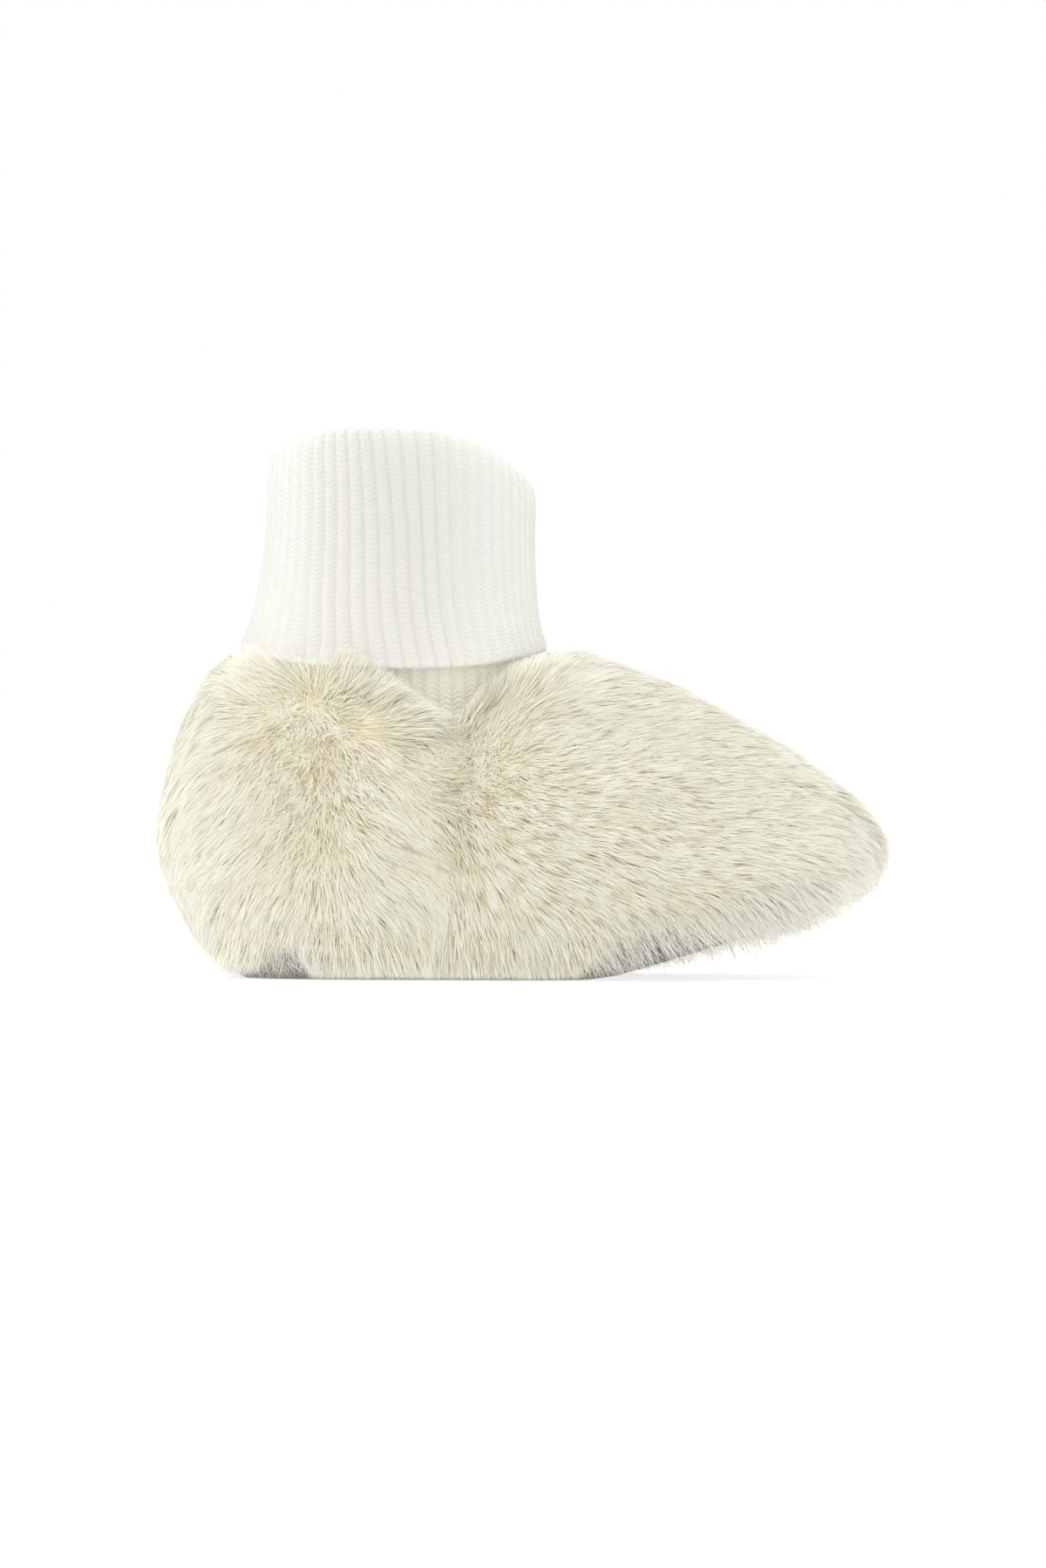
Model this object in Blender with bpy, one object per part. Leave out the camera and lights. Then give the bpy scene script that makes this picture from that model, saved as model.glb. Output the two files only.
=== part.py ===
"""Faux fur bootie slipper for a baby: soft sole, insole, hollow fur upper and turned-down rib-knit cuff.

The toe points along +X, the sole stands on Z = 0, and the shoe is the same on both sides of the XZ plane.
Sizes are in millimetres. new_piece scales each finished mesh to metres.
"""

from collections import namedtuple
from math import cos, exp, pi, sin

import bmesh
import bpy
from mathutils import Vector

MM = 0.001

# Driving dimensions
SOLE_THICKNESS = 4.0
SOLE_EDGE_EASE = 1.2
INSOLE_THICKNESS = 2.5
INSOLE_EDGE_EASE = 0.8
KNIT_THICKNESS = 1.6
GAP = 0.3  # air between pieces that meet

# Toe spring: the sole leaves the floor in a soft bend and then climbs straight
BEND_START_X = 10.0
BEND_END_X = 18.0
TOE_SLOPE = 0.29

# Waist of the foot, as a share of the width, which fades out in the rows towards the collar
WAIST_SHARE = 0.05
WAIST_X = -16.0
WAIST_SPAN = 17.0
WAIST_LAST_ROW = 7.0

# Notch in the collar where the front fur panel meets the heel panel, and the trough of the seam under it
NOTCH_X = -12.4
NOTCH_HALF_SPAN = 16.0
NOTCH_DEPTH = 8.0
NOTCH_FIRST_ROW = 5.0
TROUGH_X = -14.5
TROUGH_HALF_SPAN = 11.0
TROUGH_DEPTH = 3.2
TROUGH_LOW_Z = 16.0
TROUGH_DEEPEST_Z = 38.0
TROUGH_HIGH_Z = 55.0

RISE_POWER = 3.0  # how sharply a ring climbs from its sides to its ends
HEM_RISE_POWER = 2.0  # the fur's hem climbs more evenly, with the toe spring
RIM_CROWN = 1.5  # how far the collar's rim is domed

AROUND = 56  # points in each ring
FUR_STEPS = 16
LAST_STEPS = 12
RIM_STEPS = 4
CUFF_STEPS = 18

# A ring round the foot: its front and back points, and its widest point, which lies at side_x.
# plan_power is 1 for an ellipse and less for a fuller outline.
Ring = namedtuple("Ring", "front_x front_z back_x back_z side_x half_width side_z plan_power")

# Outer form of the fur, from its hem at the floor to the rim of the collar
FUR = (
    Ring(55.5, 11.2, -52.0, 0.0, 12.0, 28.2, 0.0, 0.86),
    Ring(60.2, 13.6, -57.2, 4.6, 12.0, 31.6, 4.2, 0.86),
    Ring(64.4, 17.6, -61.8, 11.6, 12.0, 34.2, 10.2, 0.86),
    Ring(65.9, 22.2, -65.0, 18.8, 11.0, 35.4, 17.0, 0.86),
    Ring(64.6, 26.6, -65.9, 26.4, 9.0, 35.4, 24.0, 0.86),
    Ring(59.6, 32.4, -64.7, 34.2, 6.0, 33.8, 31.0, 0.87),
    Ring(49.0, 40.1, -62.4, 43.2, 0.0, 31.0, 37.5, 0.89),
    Ring(35.0, 48.3, -59.2, 50.4, -7.0, 28.0, 43.0, 0.92),
    Ring(20.0, 55.5, -55.4, 54.6, -15.0, 25.4, 49.0, 0.96),
    Ring(9.0, 58.2, -51.0, 57.2, -20.0, 22.6, 53.4, 1.0),
)

# Form of the last inside the lining, ring for ring with FUR. Its heights are above the top of the sole.
LAST = (
    Ring(52.0, 0.3, -49.0, 0.3, 12.0, 22.5, 0.3, 0.86),
    Ring(54.0, 2.6, -51.8, 4.5, 12.0, 23.6, 2.6, 0.86),
    Ring(55.2, 4.9, -53.8, 10.0, 12.0, 24.4, 7.1, 0.86),
    Ring(55.5, 7.5, -55.0, 16.0, 11.0, 24.8, 12.2, 0.86),
    Ring(54.0, 10.8, -55.5, 23.0, 9.0, 24.6, 18.0, 0.86),
    Ring(49.5, 15.4, -55.0, 30.0, 5.0, 23.4, 23.9, 0.87),
    Ring(40.0, 23.6, -53.2, 37.0, -2.0, 21.4, 29.0, 0.89),
    Ring(27.5, 32.7, -50.0, 43.0, -10.0, 19.6, 33.5, 0.92),
    Ring(13.0, 42.6, -46.6, 47.0, -17.0, 18.5, 38.5, 0.96),
    Ring(2.5, 49.0, -44.3, 50.5, -21.0, 18.3, 43.4, 1.0),
)

# Edge of the sole, in plan
SOLE_EDGE = Ring(54.5, 0.0, -51.5, 0.0, 12.0, 25.0, 0.0, 0.86)
PAD_CENTRE = Vector((-15.0, 0.0, 0.0))  # the pads' inner rings shrink towards it, over the flat of the sole
PAD_SHARES = (0.12, 0.35, 0.42, 0.5, 0.66, 0.82, 0.94)

# Middle of the knit, from the seam in the collar up to the fold and down to the hem
CUFF = (
    Ring(1.3, 47.5, -43.1, 49.5, -21.0, 17.1, 38.0, 1.0),
    Ring(1.3, 56.0, -43.1, 57.0, -21.0, 17.1, 52.0, 1.0),
    Ring(-0.9, 72.0, -42.6, 74.0, -21.5, 17.6, 76.0, 1.0),
    Ring(-1.2, 85.2, -42.2, 89.6, -21.7, 17.8, 94.4, 1.0),
    Ring(0.2, 87.8, -43.6, 92.6, -21.7, 19.1, 97.8, 1.0),
    Ring(1.6, 85.2, -45.0, 89.6, -21.7, 20.4, 94.4, 1.0),
    Ring(1.6, 76.0, -45.5, 78.0, -21.7, 20.7, 80.0, 1.0),
    Ring(2.1, 66.0, -47.4, 67.0, -22.0, 21.6, 66.5, 1.0),
    Ring(3.4, 59.2, -49.7, 59.4, -22.6, 23.1, 56.2, 1.0),
)

IVORY_FUR = "E6E0CC"
WHITE_KNIT = "F3F1EA"
GREY_SOLE = "8F8D86"
CREAM_LINING = "E9E4D6"
CLOTH_ROUGHNESS = 0.9
CREASE_ANGLE = pi / 4.0  # edges of the pads that turn more than this stay sharp


def linear_colour(code):
    """An sRGB hex code as a linear colour with alpha."""
    shares = [int(code[i:i + 2], 16) / 255 for i in (0, 2, 4)]
    return [s / 12.92 if s <= 0.04045 else ((s + 0.055) / 1.055) ** 2.4 for s in shares] + [1.0]


def hump(distance, half_span):
    """A smooth rise from 0 to 1 and back, one half_span each way."""
    share = min(1.0, abs(distance) / half_span)
    return 0.5 + 0.5 * cos(pi * share)


def ramp(low, high, value):
    """A smooth climb from 0 at low to 1 at high."""
    share = min(1.0, max(0.0, (value - low) / (high - low)))
    return share * share * (3.0 - 2.0 * share)


def signed_power(value, power):
    return abs(value) ** power * (1.0 if value >= 0.0 else -1.0)


def sole_rise(x):
    """Height of the sole's underside above the floor."""
    if x <= BEND_START_X:
        return 0.0
    if x < BEND_END_X:
        return TOE_SLOPE * (x - BEND_START_X) ** 2 / (2.0 * (BEND_END_X - BEND_START_X))
    return TOE_SLOPE * (x - 0.5 * (BEND_START_X + BEND_END_X))


def row_at(table, place):
    """A ring part of the way between two rows of a table, on a smooth curve through its rows."""
    last = len(table) - 1
    first = min(int(place), last - 1)
    share = place - first
    rows = [table[min(max(first + step, 0), last)] for step in (-1, 0, 1, 2)]
    columns = []
    for before, start, end, after in zip(*rows):
        leave = 0.5 * (end - before)
        arrive = 0.5 * (after - start)
        bend = 2.0 * start - 2.0 * end + leave + arrive
        turn = -3.0 * start + 3.0 * end - 2.0 * leave - arrive
        columns.append(((bend * share + turn) * share + leave) * share + start)
    return Ring(*columns)


def ring_point(row, angle, rise_power=RISE_POWER):
    """The point of a ring at an angle, 0 at the toe and pi at the heel."""
    along, across = cos(angle), sin(angle)
    to_front = along >= 0.0
    reach = row.front_x - row.side_x if to_front else row.side_x - row.back_x
    end_z = row.front_z if to_front else row.back_z
    return Vector((
        row.side_x + reach * signed_power(along, row.plan_power),
        row.half_width * signed_power(across, row.plan_power),
        row.side_z + (end_z - row.side_z) * abs(along) ** rise_power,
    ))


def waisted(point, place):
    """Draws a point of a row in towards the middle at the waist of the foot."""
    pinch = WAIST_SHARE * exp(-((point.x - WAIST_X) / WAIST_SPAN) ** 2)
    pinch *= 1.0 - ramp(0.0, WAIST_LAST_ROW, place)
    return Vector((point.x, point.y * (1.0 - pinch), point.z))


def notched(point, place):
    """Lowers the upper rings at the side notch of the collar."""
    depth = NOTCH_DEPTH * ramp(NOTCH_FIRST_ROW, len(FUR) - 1, place)
    return point - Vector((0.0, 0.0, depth * hump(point.x - NOTCH_X, NOTCH_HALF_SPAN)))


def fur_point(place, angle):
    """A point on the outside of the fur."""
    rise_power = HEM_RISE_POWER + (RISE_POWER - HEM_RISE_POWER) * min(1.0, place)
    point = waisted(ring_point(row_at(FUR, place), angle, rise_power), place)
    trough = TROUGH_DEPTH * hump(point.x - TROUGH_X, TROUGH_HALF_SPAN)
    trough *= ramp(TROUGH_LOW_Z, TROUGH_DEEPEST_Z, point.z)
    trough *= 1.0 - ramp(TROUGH_DEEPEST_Z, TROUGH_HIGH_Z, point.z)
    point.y -= trough * sin(angle)
    return notched(point, place)


def last_point(place, angle):
    """A point on the lining."""
    point = waisted(ring_point(row_at(LAST, place), angle), place)
    point.z += sole_rise(point.x) + SOLE_THICKNESS
    return notched(point, place)


def sole_edge_point(angle, outset):
    """A point of the sole's outline, moved outwards in plan."""
    edge = waisted(ring_point(SOLE_EDGE, angle), 0.0)
    return edge + (edge - PAD_CENTRE).normalized() * outset


def ring_angles():
    return [2.0 * pi * i / AROUND for i in range(AROUND)]


def new_piece(name, mesh_builder, parent, colour):
    """Makes an object of a bmesh in millimetres, shaded smooth, with its own material."""
    bmesh.ops.recalc_face_normals(mesh_builder, faces=mesh_builder.faces)
    bmesh.ops.triangulate(mesh_builder, faces=mesh_builder.faces, quad_method="SHORT_EDGE")
    bmesh.ops.scale(mesh_builder, vec=(MM, MM, MM), verts=mesh_builder.verts)
    mesh = bpy.data.meshes.new(name)
    mesh_builder.to_mesh(mesh)
    mesh_builder.free()
    mesh.shade_smooth()
    material = bpy.data.materials.new(name + "_material")
    material.use_nodes = True
    shader = material.node_tree.nodes["Principled BSDF"]
    shader.inputs["Base Color"].default_value = linear_colour(colour)
    shader.inputs["Roughness"].default_value = CLOTH_ROUGHNESS
    shader.inputs["Metallic"].default_value = 0.0
    mesh.materials.append(material)
    piece = bpy.data.objects.new(name, mesh)
    bpy.context.scene.collection.objects.link(piece)
    piece.parent = parent
    return piece


def bridged(rings, closed):
    """A bmesh that skins a row of rings. closed joins the last ring to the first."""
    mesh_builder = bmesh.new()
    loops = []
    for ring in rings:
        corners = [mesh_builder.verts.new(point) for point in ring]
        loops.append([mesh_builder.edges.new((corners[i - 1], corners[i])) for i in range(len(corners))])
    following = loops[1:] + loops[:1] if closed else loops[1:]
    for loop, next_loop in zip(loops, following):
        bmesh.ops.bridge_loops(mesh_builder, edges=loop + next_loop)
    return mesh_builder, loops


def build_upper(parent):
    """The fur wall: outside, domed collar rim, lining, and a foot that straddles the sole's edge."""
    top = len(FUR) - 1
    angles = ring_angles()
    rings = [[fur_point(top * i / FUR_STEPS, a) for a in angles] for i in range(FUR_STEPS + 1)]
    for step in range(1, RIM_STEPS):
        share = step / RIM_STEPS
        crown = Vector((0.0, 0.0, RIM_CROWN * sin(pi * share)))
        rings.append([fur_point(top, a).lerp(last_point(top, a), share) + crown for a in angles])
    rings += [[last_point(top * i / LAST_STEPS, a) for a in angles] for i in range(LAST_STEPS, -1, -1)]
    shoulder = [sole_edge_point(a, GAP) for a in angles]
    for point in shoulder:
        point.z = sole_rise(point.x) + SOLE_THICKNESS + GAP
    skirt = [sole_edge_point(a, GAP) for a in angles]
    for point, hem in zip(skirt, rings[0]):
        point.z = hem.z
    mesh_builder, _ = bridged(rings + [shoulder, skirt], closed=True)
    new_piece("upper", mesh_builder, parent, IVORY_FUR)


def build_pad(name, parent, edge_points, base_height, thickness, edge_ease, colour):
    """A sole or insole: an outline skinned over the toe spring, with its edges eased and its faces closed."""
    def ring(share, inset, height):
        points = []
        for edge in edge_points:
            arm = edge - PAD_CENTRE
            point = PAD_CENTRE + arm * share - arm.normalized() * inset
            point.z = sole_rise(point.x) + base_height + height
            points.append(point)
        return points

    rings = [ring(share, 0.0, 0.0) for share in PAD_SHARES]
    rings.append(ring(1.0, edge_ease, 0.0))
    rings.append(ring(1.0, 0.0, edge_ease))
    rings.append(ring(1.0, 0.0, thickness - edge_ease))
    rings.append(ring(1.0, edge_ease, thickness))
    rings += [ring(share, 0.0, thickness) for share in reversed(PAD_SHARES)]
    mesh_builder, loops = bridged(rings, closed=False)
    for loop in (loops[0], loops[-1]):
        bmesh.ops.edgenet_fill(mesh_builder, edges=loop)
    piece = new_piece(name, mesh_builder, parent, colour)
    piece.data.set_sharp_from_angle(angle=CREASE_ANGLE)


def build_outsole(parent):
    edge = [sole_edge_point(a, 0.0) for a in ring_angles()]
    build_pad("outsole", parent, edge, 0.0, SOLE_THICKNESS, SOLE_EDGE_EASE, GREY_SOLE)


def build_insole(parent):
    """The pad lies on the sole, just inside the lining."""
    edge = []
    for angle in ring_angles():
        point = last_point(0.0, angle)
        point.z = 0.0
        edge.append(point - (point - PAD_CENTRE).normalized() * GAP)
    base = SOLE_THICKNESS + GAP
    build_pad("insole", parent, edge, base, INSOLE_THICKNESS, INSOLE_EDGE_EASE, CREAM_LINING)


def build_cuff(parent):
    """The knit as one sheet from seam to hem, given its thickness by Solidify."""
    top = len(CUFF) - 1
    places = [top * i / CUFF_STEPS for i in range(CUFF_STEPS + 1)]
    rings = [[ring_point(row_at(CUFF, place), a) for a in ring_angles()] for place in places]
    mesh_builder, _ = bridged(rings, closed=False)
    piece = new_piece("cuff", mesh_builder, parent, WHITE_KNIT)
    wall = piece.modifiers.new("wall", "SOLIDIFY")
    wall.thickness = KNIT_THICKNESS * MM
    wall.offset = 0.0


def main():
    for old in list(bpy.data.objects):
        bpy.data.objects.remove(old)
    slipper = bpy.data.objects.new("slipper", None)
    bpy.context.scene.collection.objects.link(slipper)
    build_outsole(slipper)
    build_insole(slipper)
    build_upper(slipper)
    build_cuff(slipper)


main()
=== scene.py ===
"""Looks of a faux fur baby slipper: combed pile, turned-down rib-knit cuff, lined shell and soft sole."""

from collections import namedtuple
from math import cos, pi, radians, sin

import bpy
import numpy as np
from bpy.props import FloatProperty, IntProperty, PointerProperty, StringProperty
from bpy.types import Operator, Panel, PropertyGroup
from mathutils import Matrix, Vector
from mathutils.bvhtree import BVHTree
from mathutils.kdtree import KDTree


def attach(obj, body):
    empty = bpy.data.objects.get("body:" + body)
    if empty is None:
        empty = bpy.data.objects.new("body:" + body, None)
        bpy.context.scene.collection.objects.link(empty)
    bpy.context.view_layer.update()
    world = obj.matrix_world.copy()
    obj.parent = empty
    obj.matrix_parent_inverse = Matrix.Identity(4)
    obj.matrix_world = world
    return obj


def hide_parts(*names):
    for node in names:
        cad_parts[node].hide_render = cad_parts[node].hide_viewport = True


bl_info = {
    "name": "Faux Fur Baby Slipper",
    "version": (1, 0, 0),
    "blender": (4, 5, 0),
    "location": "View3D > Sidebar > Slipper",
    "description": "Builds the fur, knit cuff, lining and soles of a baby slipper round its solid model",
    "category": "Object",
}

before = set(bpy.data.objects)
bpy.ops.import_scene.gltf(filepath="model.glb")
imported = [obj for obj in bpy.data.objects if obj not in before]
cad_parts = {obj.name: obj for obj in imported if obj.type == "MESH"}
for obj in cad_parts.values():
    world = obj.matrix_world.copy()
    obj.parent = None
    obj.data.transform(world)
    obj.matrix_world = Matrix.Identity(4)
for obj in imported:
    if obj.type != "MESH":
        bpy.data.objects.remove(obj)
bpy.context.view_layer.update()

MM = 0.001
SEED = 5
BODY = "root"
UP = np.array((0.0, 0.0, 1.0))
TOEWARD = np.array((1.0, 0.0, 0.0))
LEVEL = (1.0, 1.0, 0.0)  # keeps the level part of a direction
SIDE_VIEW = (1.0, 0.0, 1.0)  # keeps the part that shows from the side


def mm(*sizes):
    """Sizes in millimetres as metres."""
    return tuple(size * MM for size in sizes)


# Colour and material helpers

def linear(code, share=1.0):
    """An sRGB hex code as a linear colour with alpha, or a darker share of it."""
    shares = [int(code[i:i + 2], 16) / 255 for i in (0, 2, 4)]
    lights = [s / 12.92 if s <= 0.04045 else ((s + 0.055) / 1.055) ** 2.4 for s in shares]
    return [share * light for light in lights] + [1.0]


def new_material(name):
    """An empty node material."""
    material = bpy.data.materials.new(name)
    material.use_nodes = True
    material.node_tree.nodes.clear()
    return material


def add_node(material, kind, inputs=None, **settings):
    """Adds a node. inputs gives each socket a value, or the output socket to link to it."""
    node = material.node_tree.nodes.new(kind)
    for name, value in settings.items():
        setattr(node, name, value)
    for name, value in (inputs or {}).items():
        if isinstance(value, bpy.types.NodeSocket):
            material.node_tree.links.new(value, node.inputs[name])
        else:
            node.inputs[name].default_value = value
    return node


# Settings that a user would change

class FurSettings(PropertyGroup):
    """Sizes and colours of the pile and its backing."""
    strands: IntProperty(name="Fibres", description="Fibres in the whole pile", default=264000)
    depth: FloatProperty(
        name="Pile depth", description="How far the fibres' feet lie below the surface of the pile",
        default=5.2 * MM, unit="LENGTH")
    sweep: FloatProperty(
        name="Sweep", description="How far a fibre's tip is combed along from its foot",
        default=7.5 * MM, unit="LENGTH")
    width: FloatProperty(
        name="Fibre width", description="Width of a fibre, drawn coarse enough to show",
        default=0.13 * MM, unit="LENGTH")
    tuft: FloatProperty(
        name="Tuft spacing", description="Distance between the tufts that fibres gather in",
        default=1.15 * MM, unit="LENGTH")
    tip_colour: StringProperty(name="Tips", description="Colour of the fibres' tips", default="F6F6F1")
    # Painted shade: the feet are darker and warmer than the tips, so the gaps between tufts look shaded deep
    # down
    foot_shade_colour: StringProperty(name="Feet", description="Colour of the fibres' feet", default="DCD6B8")
    # Straw tone: odd darker fibres at random, and painted shade in the seam's crease, round the whorl and
    # parting, and on low-lying tufts
    straw_and_shade_colour: StringProperty(
        name="Straw", description="Colour of the odd darker fibre", default="DBCFA6")
    # Painted shade: the wisps and the veil are greyed for the shade under the lifted toe
    shaded_wisp_colour: StringProperty(
        name="Wisps", description="Colour of the fine wisps over the sole", default="DEDDD5")
    through_colour: StringProperty(
        name="Light through", description="Colour of the light that comes through the fibres",
        default="FBF8E8")
    backing_colour: StringProperty(
        name="Backing", description="Colour of the knitted backing", default="DDD3B6")
    backing_shade: StringProperty(
        name="Backing shade", description="Darker colour in the backing's mottle", default="D0C5A2")


class KnitSettings(PropertyGroup):
    """Sizes and colours of the rib knit."""
    ribs: IntProperty(name="Ribs", description="Ribs round the cuff", default=58)
    rib_depth: FloatProperty(
        name="Rib depth", description="Height of a rib over its valleys", default=0.45 * MM, unit="LENGTH")
    stitch: FloatProperty(
        name="Stitch height", description="Height of one row of stitches, drawn coarse enough to show",
        default=0.8 * MM, unit="LENGTH")
    thickness: FloatProperty(
        name="Thickness", description="Thickness of the knit", default=1.1 * MM, unit="LENGTH")
    colour: StringProperty(name="Yarn", description="Colour of the yarn", default="F1F1EE")
    # Painted shade: the valleys between the ribs and between the stitches are drawn darker
    valley_shade_colour: StringProperty(name="Valleys", description="Colour between the ribs", default="DEDCD1")
    # Painted light: the yarn under the turn-down is drawn lighter and warmer than the outer yarn, with
    # painted shade in its valleys
    inner_lit_colour: StringProperty(
        name="Inner tube", description="Colour of the lightened, warm yarn under the turn-down", default="FDFBF3")
    inner_valley_shade_colour: StringProperty(
        name="Inner valleys", description="Colour between the ribs under the turn-down", default="E4DDCB")
    through_colour: StringProperty(
        name="Light through", description="Colour of the light that comes through the yarn", default="FDFCF6")


class SoleSettings(PropertyGroup):
    """Sizes and colours of the sole, the insole and the lining."""
    pad_voxel: FloatProperty(
        name="Mesh size", description="Size of the faces of the sole and the insole",
        default=0.9 * MM, unit="LENGTH")
    crown: FloatProperty(
        name="Crown", description="How far the insole swells in its middle", default=0.5 * MM, unit="LENGTH")
    channel_inset: FloatProperty(
        name="Seam inset", description="From the edge in to the seam", default=4.0 * MM, unit="LENGTH")
    channel_depth: FloatProperty(
        name="Seam depth", description="Depth of the sewn channel", default=0.35 * MM, unit="LENGTH")
    sole_colour: StringProperty(name="Sole", description="Colour of the suede sole", default="827E75")
    lining_colour: StringProperty(name="Lining", description="Colour of the lining", default="EFEADC")


class StageSettings(PropertyGroup):
    """Camera, floor and light."""
    distance: FloatProperty(
        name="Distance", description="From the camera to the middle of the slipper", default=2.2,
        unit="LENGTH")
    view_height: FloatProperty(
        name="View height", description="Height of the picture at the slipper", default=0.2806, unit="LENGTH")
    aim_height: FloatProperty(
        name="Aim height", description="Height of the picture's middle over the floor", default=0.0346,
        unit="LENGTH")
    elevation: FloatProperty(
        name="Elevation", description="Angle of the camera over the horizon", default=radians(0.5),
        subtype="ANGLE")
    key_power: FloatProperty(
        name="Key light", description="Power of the main light", default=3.9, unit="POWER")
    fill_power: FloatProperty(
        name="Fill light", description="Power of the second light", default=4.7, unit="POWER")
    top_power: FloatProperty(
        name="Top light", description="Power of the light overhead", default=3.4, unit="POWER")
    side_power: FloatProperty(
        name="Side lights", description="Power of the lights at the heel and the toe", default=5.4,
        unit="POWER")
    sky: FloatProperty(name="Surroundings", description="Brightness of the white surroundings", default=1.0)
    floor_colour: StringProperty(name="Floor", description="Colour of the paper floor", default="A0A0A0")
    floor_glow: FloatProperty(
        name="Floor glow", description="Light from below that keeps the paper white", default=0.75)


# Surface of the CAD upper

Surface = namedtuple("Surface", "points triangles normals tree")

BEND_START_X = 10.0 * MM  # the sole leaves the floor in a soft bend and then climbs straight, as in the solid
BEND_END_X = 18.0 * MM
TOE_SLOPE = 0.29
COLLAR_AXIS = np.array((-21.5, 0.0, 0.0)) * MM
MIDLINE_REACH = 30.0 * MM  # low faces that look in to this much of the middle line belong to the lining
LINED_BELOW_Z = 25.0 * MM
PILE_TO_CUFF = 1.3 * MM  # faces closer to the cuff than this carry no pile
FACE_STEP = 0.1 * MM  # a face is looked out from this far above it
UNDER_HEM = -0.95  # faces whose normal points down more than this are the hem's underside
WELD = 1e-6  # corners this close are one point
THICK_PILE = 1.4  # how much thicker the pile grows round the collar
THICK_PILE_Z = mm(46, 54)
THICK_PILE_X = mm(14, 6)


def unit(vectors):
    return vectors / np.maximum(np.linalg.norm(vectors, axis=-1, keepdims=True), 1e-12)


def ramp(low, high, value):
    """A smooth climb from 0 at low to 1 at high."""
    share = np.clip((value - low) / (high - low), 0.0, 1.0)
    return share * share * (3.0 - 2.0 * share)


def sole_rise(x):
    """Height of the sole's underside above the floor."""
    bend = TOE_SLOPE * (x - BEND_START_X) ** 2 / (2.0 * (BEND_END_X - BEND_START_X))
    climb = TOE_SLOPE * (x - 0.5 * (BEND_START_X + BEND_END_X))
    return np.where(x <= BEND_START_X, 0.0, np.where(x < BEND_END_X, bend, climb))


def outwards(places):
    """Level directions away from the collar's axis."""
    return unit((places - COLLAR_AXIS) * LEVEL)


def merged_mesh(node):
    """A CAD node's corners merged: its points and its triangles."""
    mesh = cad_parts[node].data
    mesh.calc_loop_triangles()
    points = np.empty(len(mesh.vertices) * 3)
    mesh.vertices.foreach_get("co", points)
    corners = np.empty(len(mesh.loop_triangles) * 3, np.int64)
    mesh.loop_triangles.foreach_get("vertices", corners)
    points = points.reshape(-1, 3)
    _, first, index = np.unique(np.round(points / WELD), axis=0, return_index=True, return_inverse=True)
    return points[first], index.reshape(-1)[corners].reshape(-1, 3)


def corner_points(points, triangles):
    """The first, second and third corners of triangles."""
    return (points[triangles[:, i]] for i in range(3))


def pile_surface():
    """The CAD upper's faces that carry pile: those that look out past it, but not close against the cuff."""
    points, triangles = merged_mesh("upper")
    a, b, c = corner_points(points, triangles)
    face_normals = np.cross(b - a, c - a)
    normals = np.zeros_like(points)
    for i in range(3):
        np.add.at(normals, triangles[:, i], face_normals)
    normals, face_normals = unit(normals), unit(face_normals)
    upper = BVHTree.FromPolygons(points.tolist(), triangles.tolist())
    cuff = BVHTree.FromPolygons(*(part.tolist() for part in merged_mesh("cuff")))
    middles = (a + b + c) / 3.0
    shows = []
    for middle, normal in zip(middles, face_normals):
        start = Vector(middle + normal * FACE_STEP)
        looks_out = upper.ray_cast(start, Vector(normal))[0] is None
        under_hem = normal[2] < UNDER_HEM
        from_middle = middle[0] - np.clip(middle[0], -MIDLINE_REACH, MIDLINE_REACH)
        looks_in = middle[2] < LINED_BELOW_Z and normal[0] * from_middle + normal[1] * middle[1] < 0.0
        free = cuff.find_nearest(start, PILE_TO_CUFF)[0] is None
        shows.append(looks_out and free and not under_hem and not looks_in)
    triangles = triangles[np.array(shows)]
    tree = BVHTree.FromPolygons(points.tolist(), triangles.tolist())
    return Surface(points, triangles, normals, tree)


def pile_density(places):
    """How thick the pile grows: thickest round the collar, where its tips close over the cuff's hem."""
    return 1.0 + THICK_PILE * ramp(*THICK_PILE_Z, places[:, 2]) * ramp(*THICK_PILE_X, places[:, 0])


def scatter(surface, count, rng):
    """Points over the pile's surface, as thick as it grows, with the surface's smooth normals there."""
    a, b, c = corner_points(surface.points, surface.triangles)
    shares = np.linalg.norm(np.cross(b - a, c - a), axis=1) * pile_density((a + b + c) / 3.0)
    pick = rng.choice(len(shares), count, p=shares / shares.sum())
    s, t = rng.random((2, count, 1))
    over = s + t > 1.0
    s, t = np.where(over, 1.0 - s, s), np.where(over, 1.0 - t, t)
    places = a[pick] + s * (b - a)[pick] + t * (c - a)[pick]
    na, nb, nc = corner_points(surface.normals, surface.triangles[pick])
    return places, unit(na * (1.0 - s - t) + nb * s + nc * t)


# Lie of the fur: each pair of sizes is a band, from where something begins to where it is full

SEAM_TOP_X = -12.4 * MM  # side seam between the vamp's fur and the heel's, at the notch and at the floor
SEAM_FOOT_X = -17.0 * MM
SEAM_TOP_Z = 45.0 * MM
SEAM_RUN_ON = 1.3  # the seam's curve runs on this far past its top
SEAM_TROUGH = 1.8 * MM
SEAM_TROUGH_HALF = 6 * MM
SEAM_TROUGH_FOOT_Z = mm(8, 24)
SEAM_TROUGH_TOP_Z = mm(44, 39)
TOE_PANEL_X = 24.0 * MM  # the vamp's pile is kept in two lots, before and behind this line
HEEL_WHORL = np.array((-38.0, 0.0, 49.5)) * MM  # the heel's pile turns outwards from here, and parts below it
HEEL_WHORL_Z = mm(38, 47)
HEEL_PARTING_HALF = 8.0 * MM
PARTING_WANDER = 3.0 * MM
PARTING_WAVES = mm(11, 19)
HEEL_FALL = 0.85
HEEL_FALL_Z = mm(53, 38)
HEEL_BACK_X = mm(-46, -60)
HEEL_BACK_Z = mm(40, 50)
HEEL_BACK_FALL = 0.6
VAMP_WHORL = np.array((-10.8, 0.0, 38.4)) * MM  # the vamp's pile turns outwards from here
VAMP_TOEWARD = 0.55
VAMP_FRONT_X = mm(48, 64)
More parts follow.
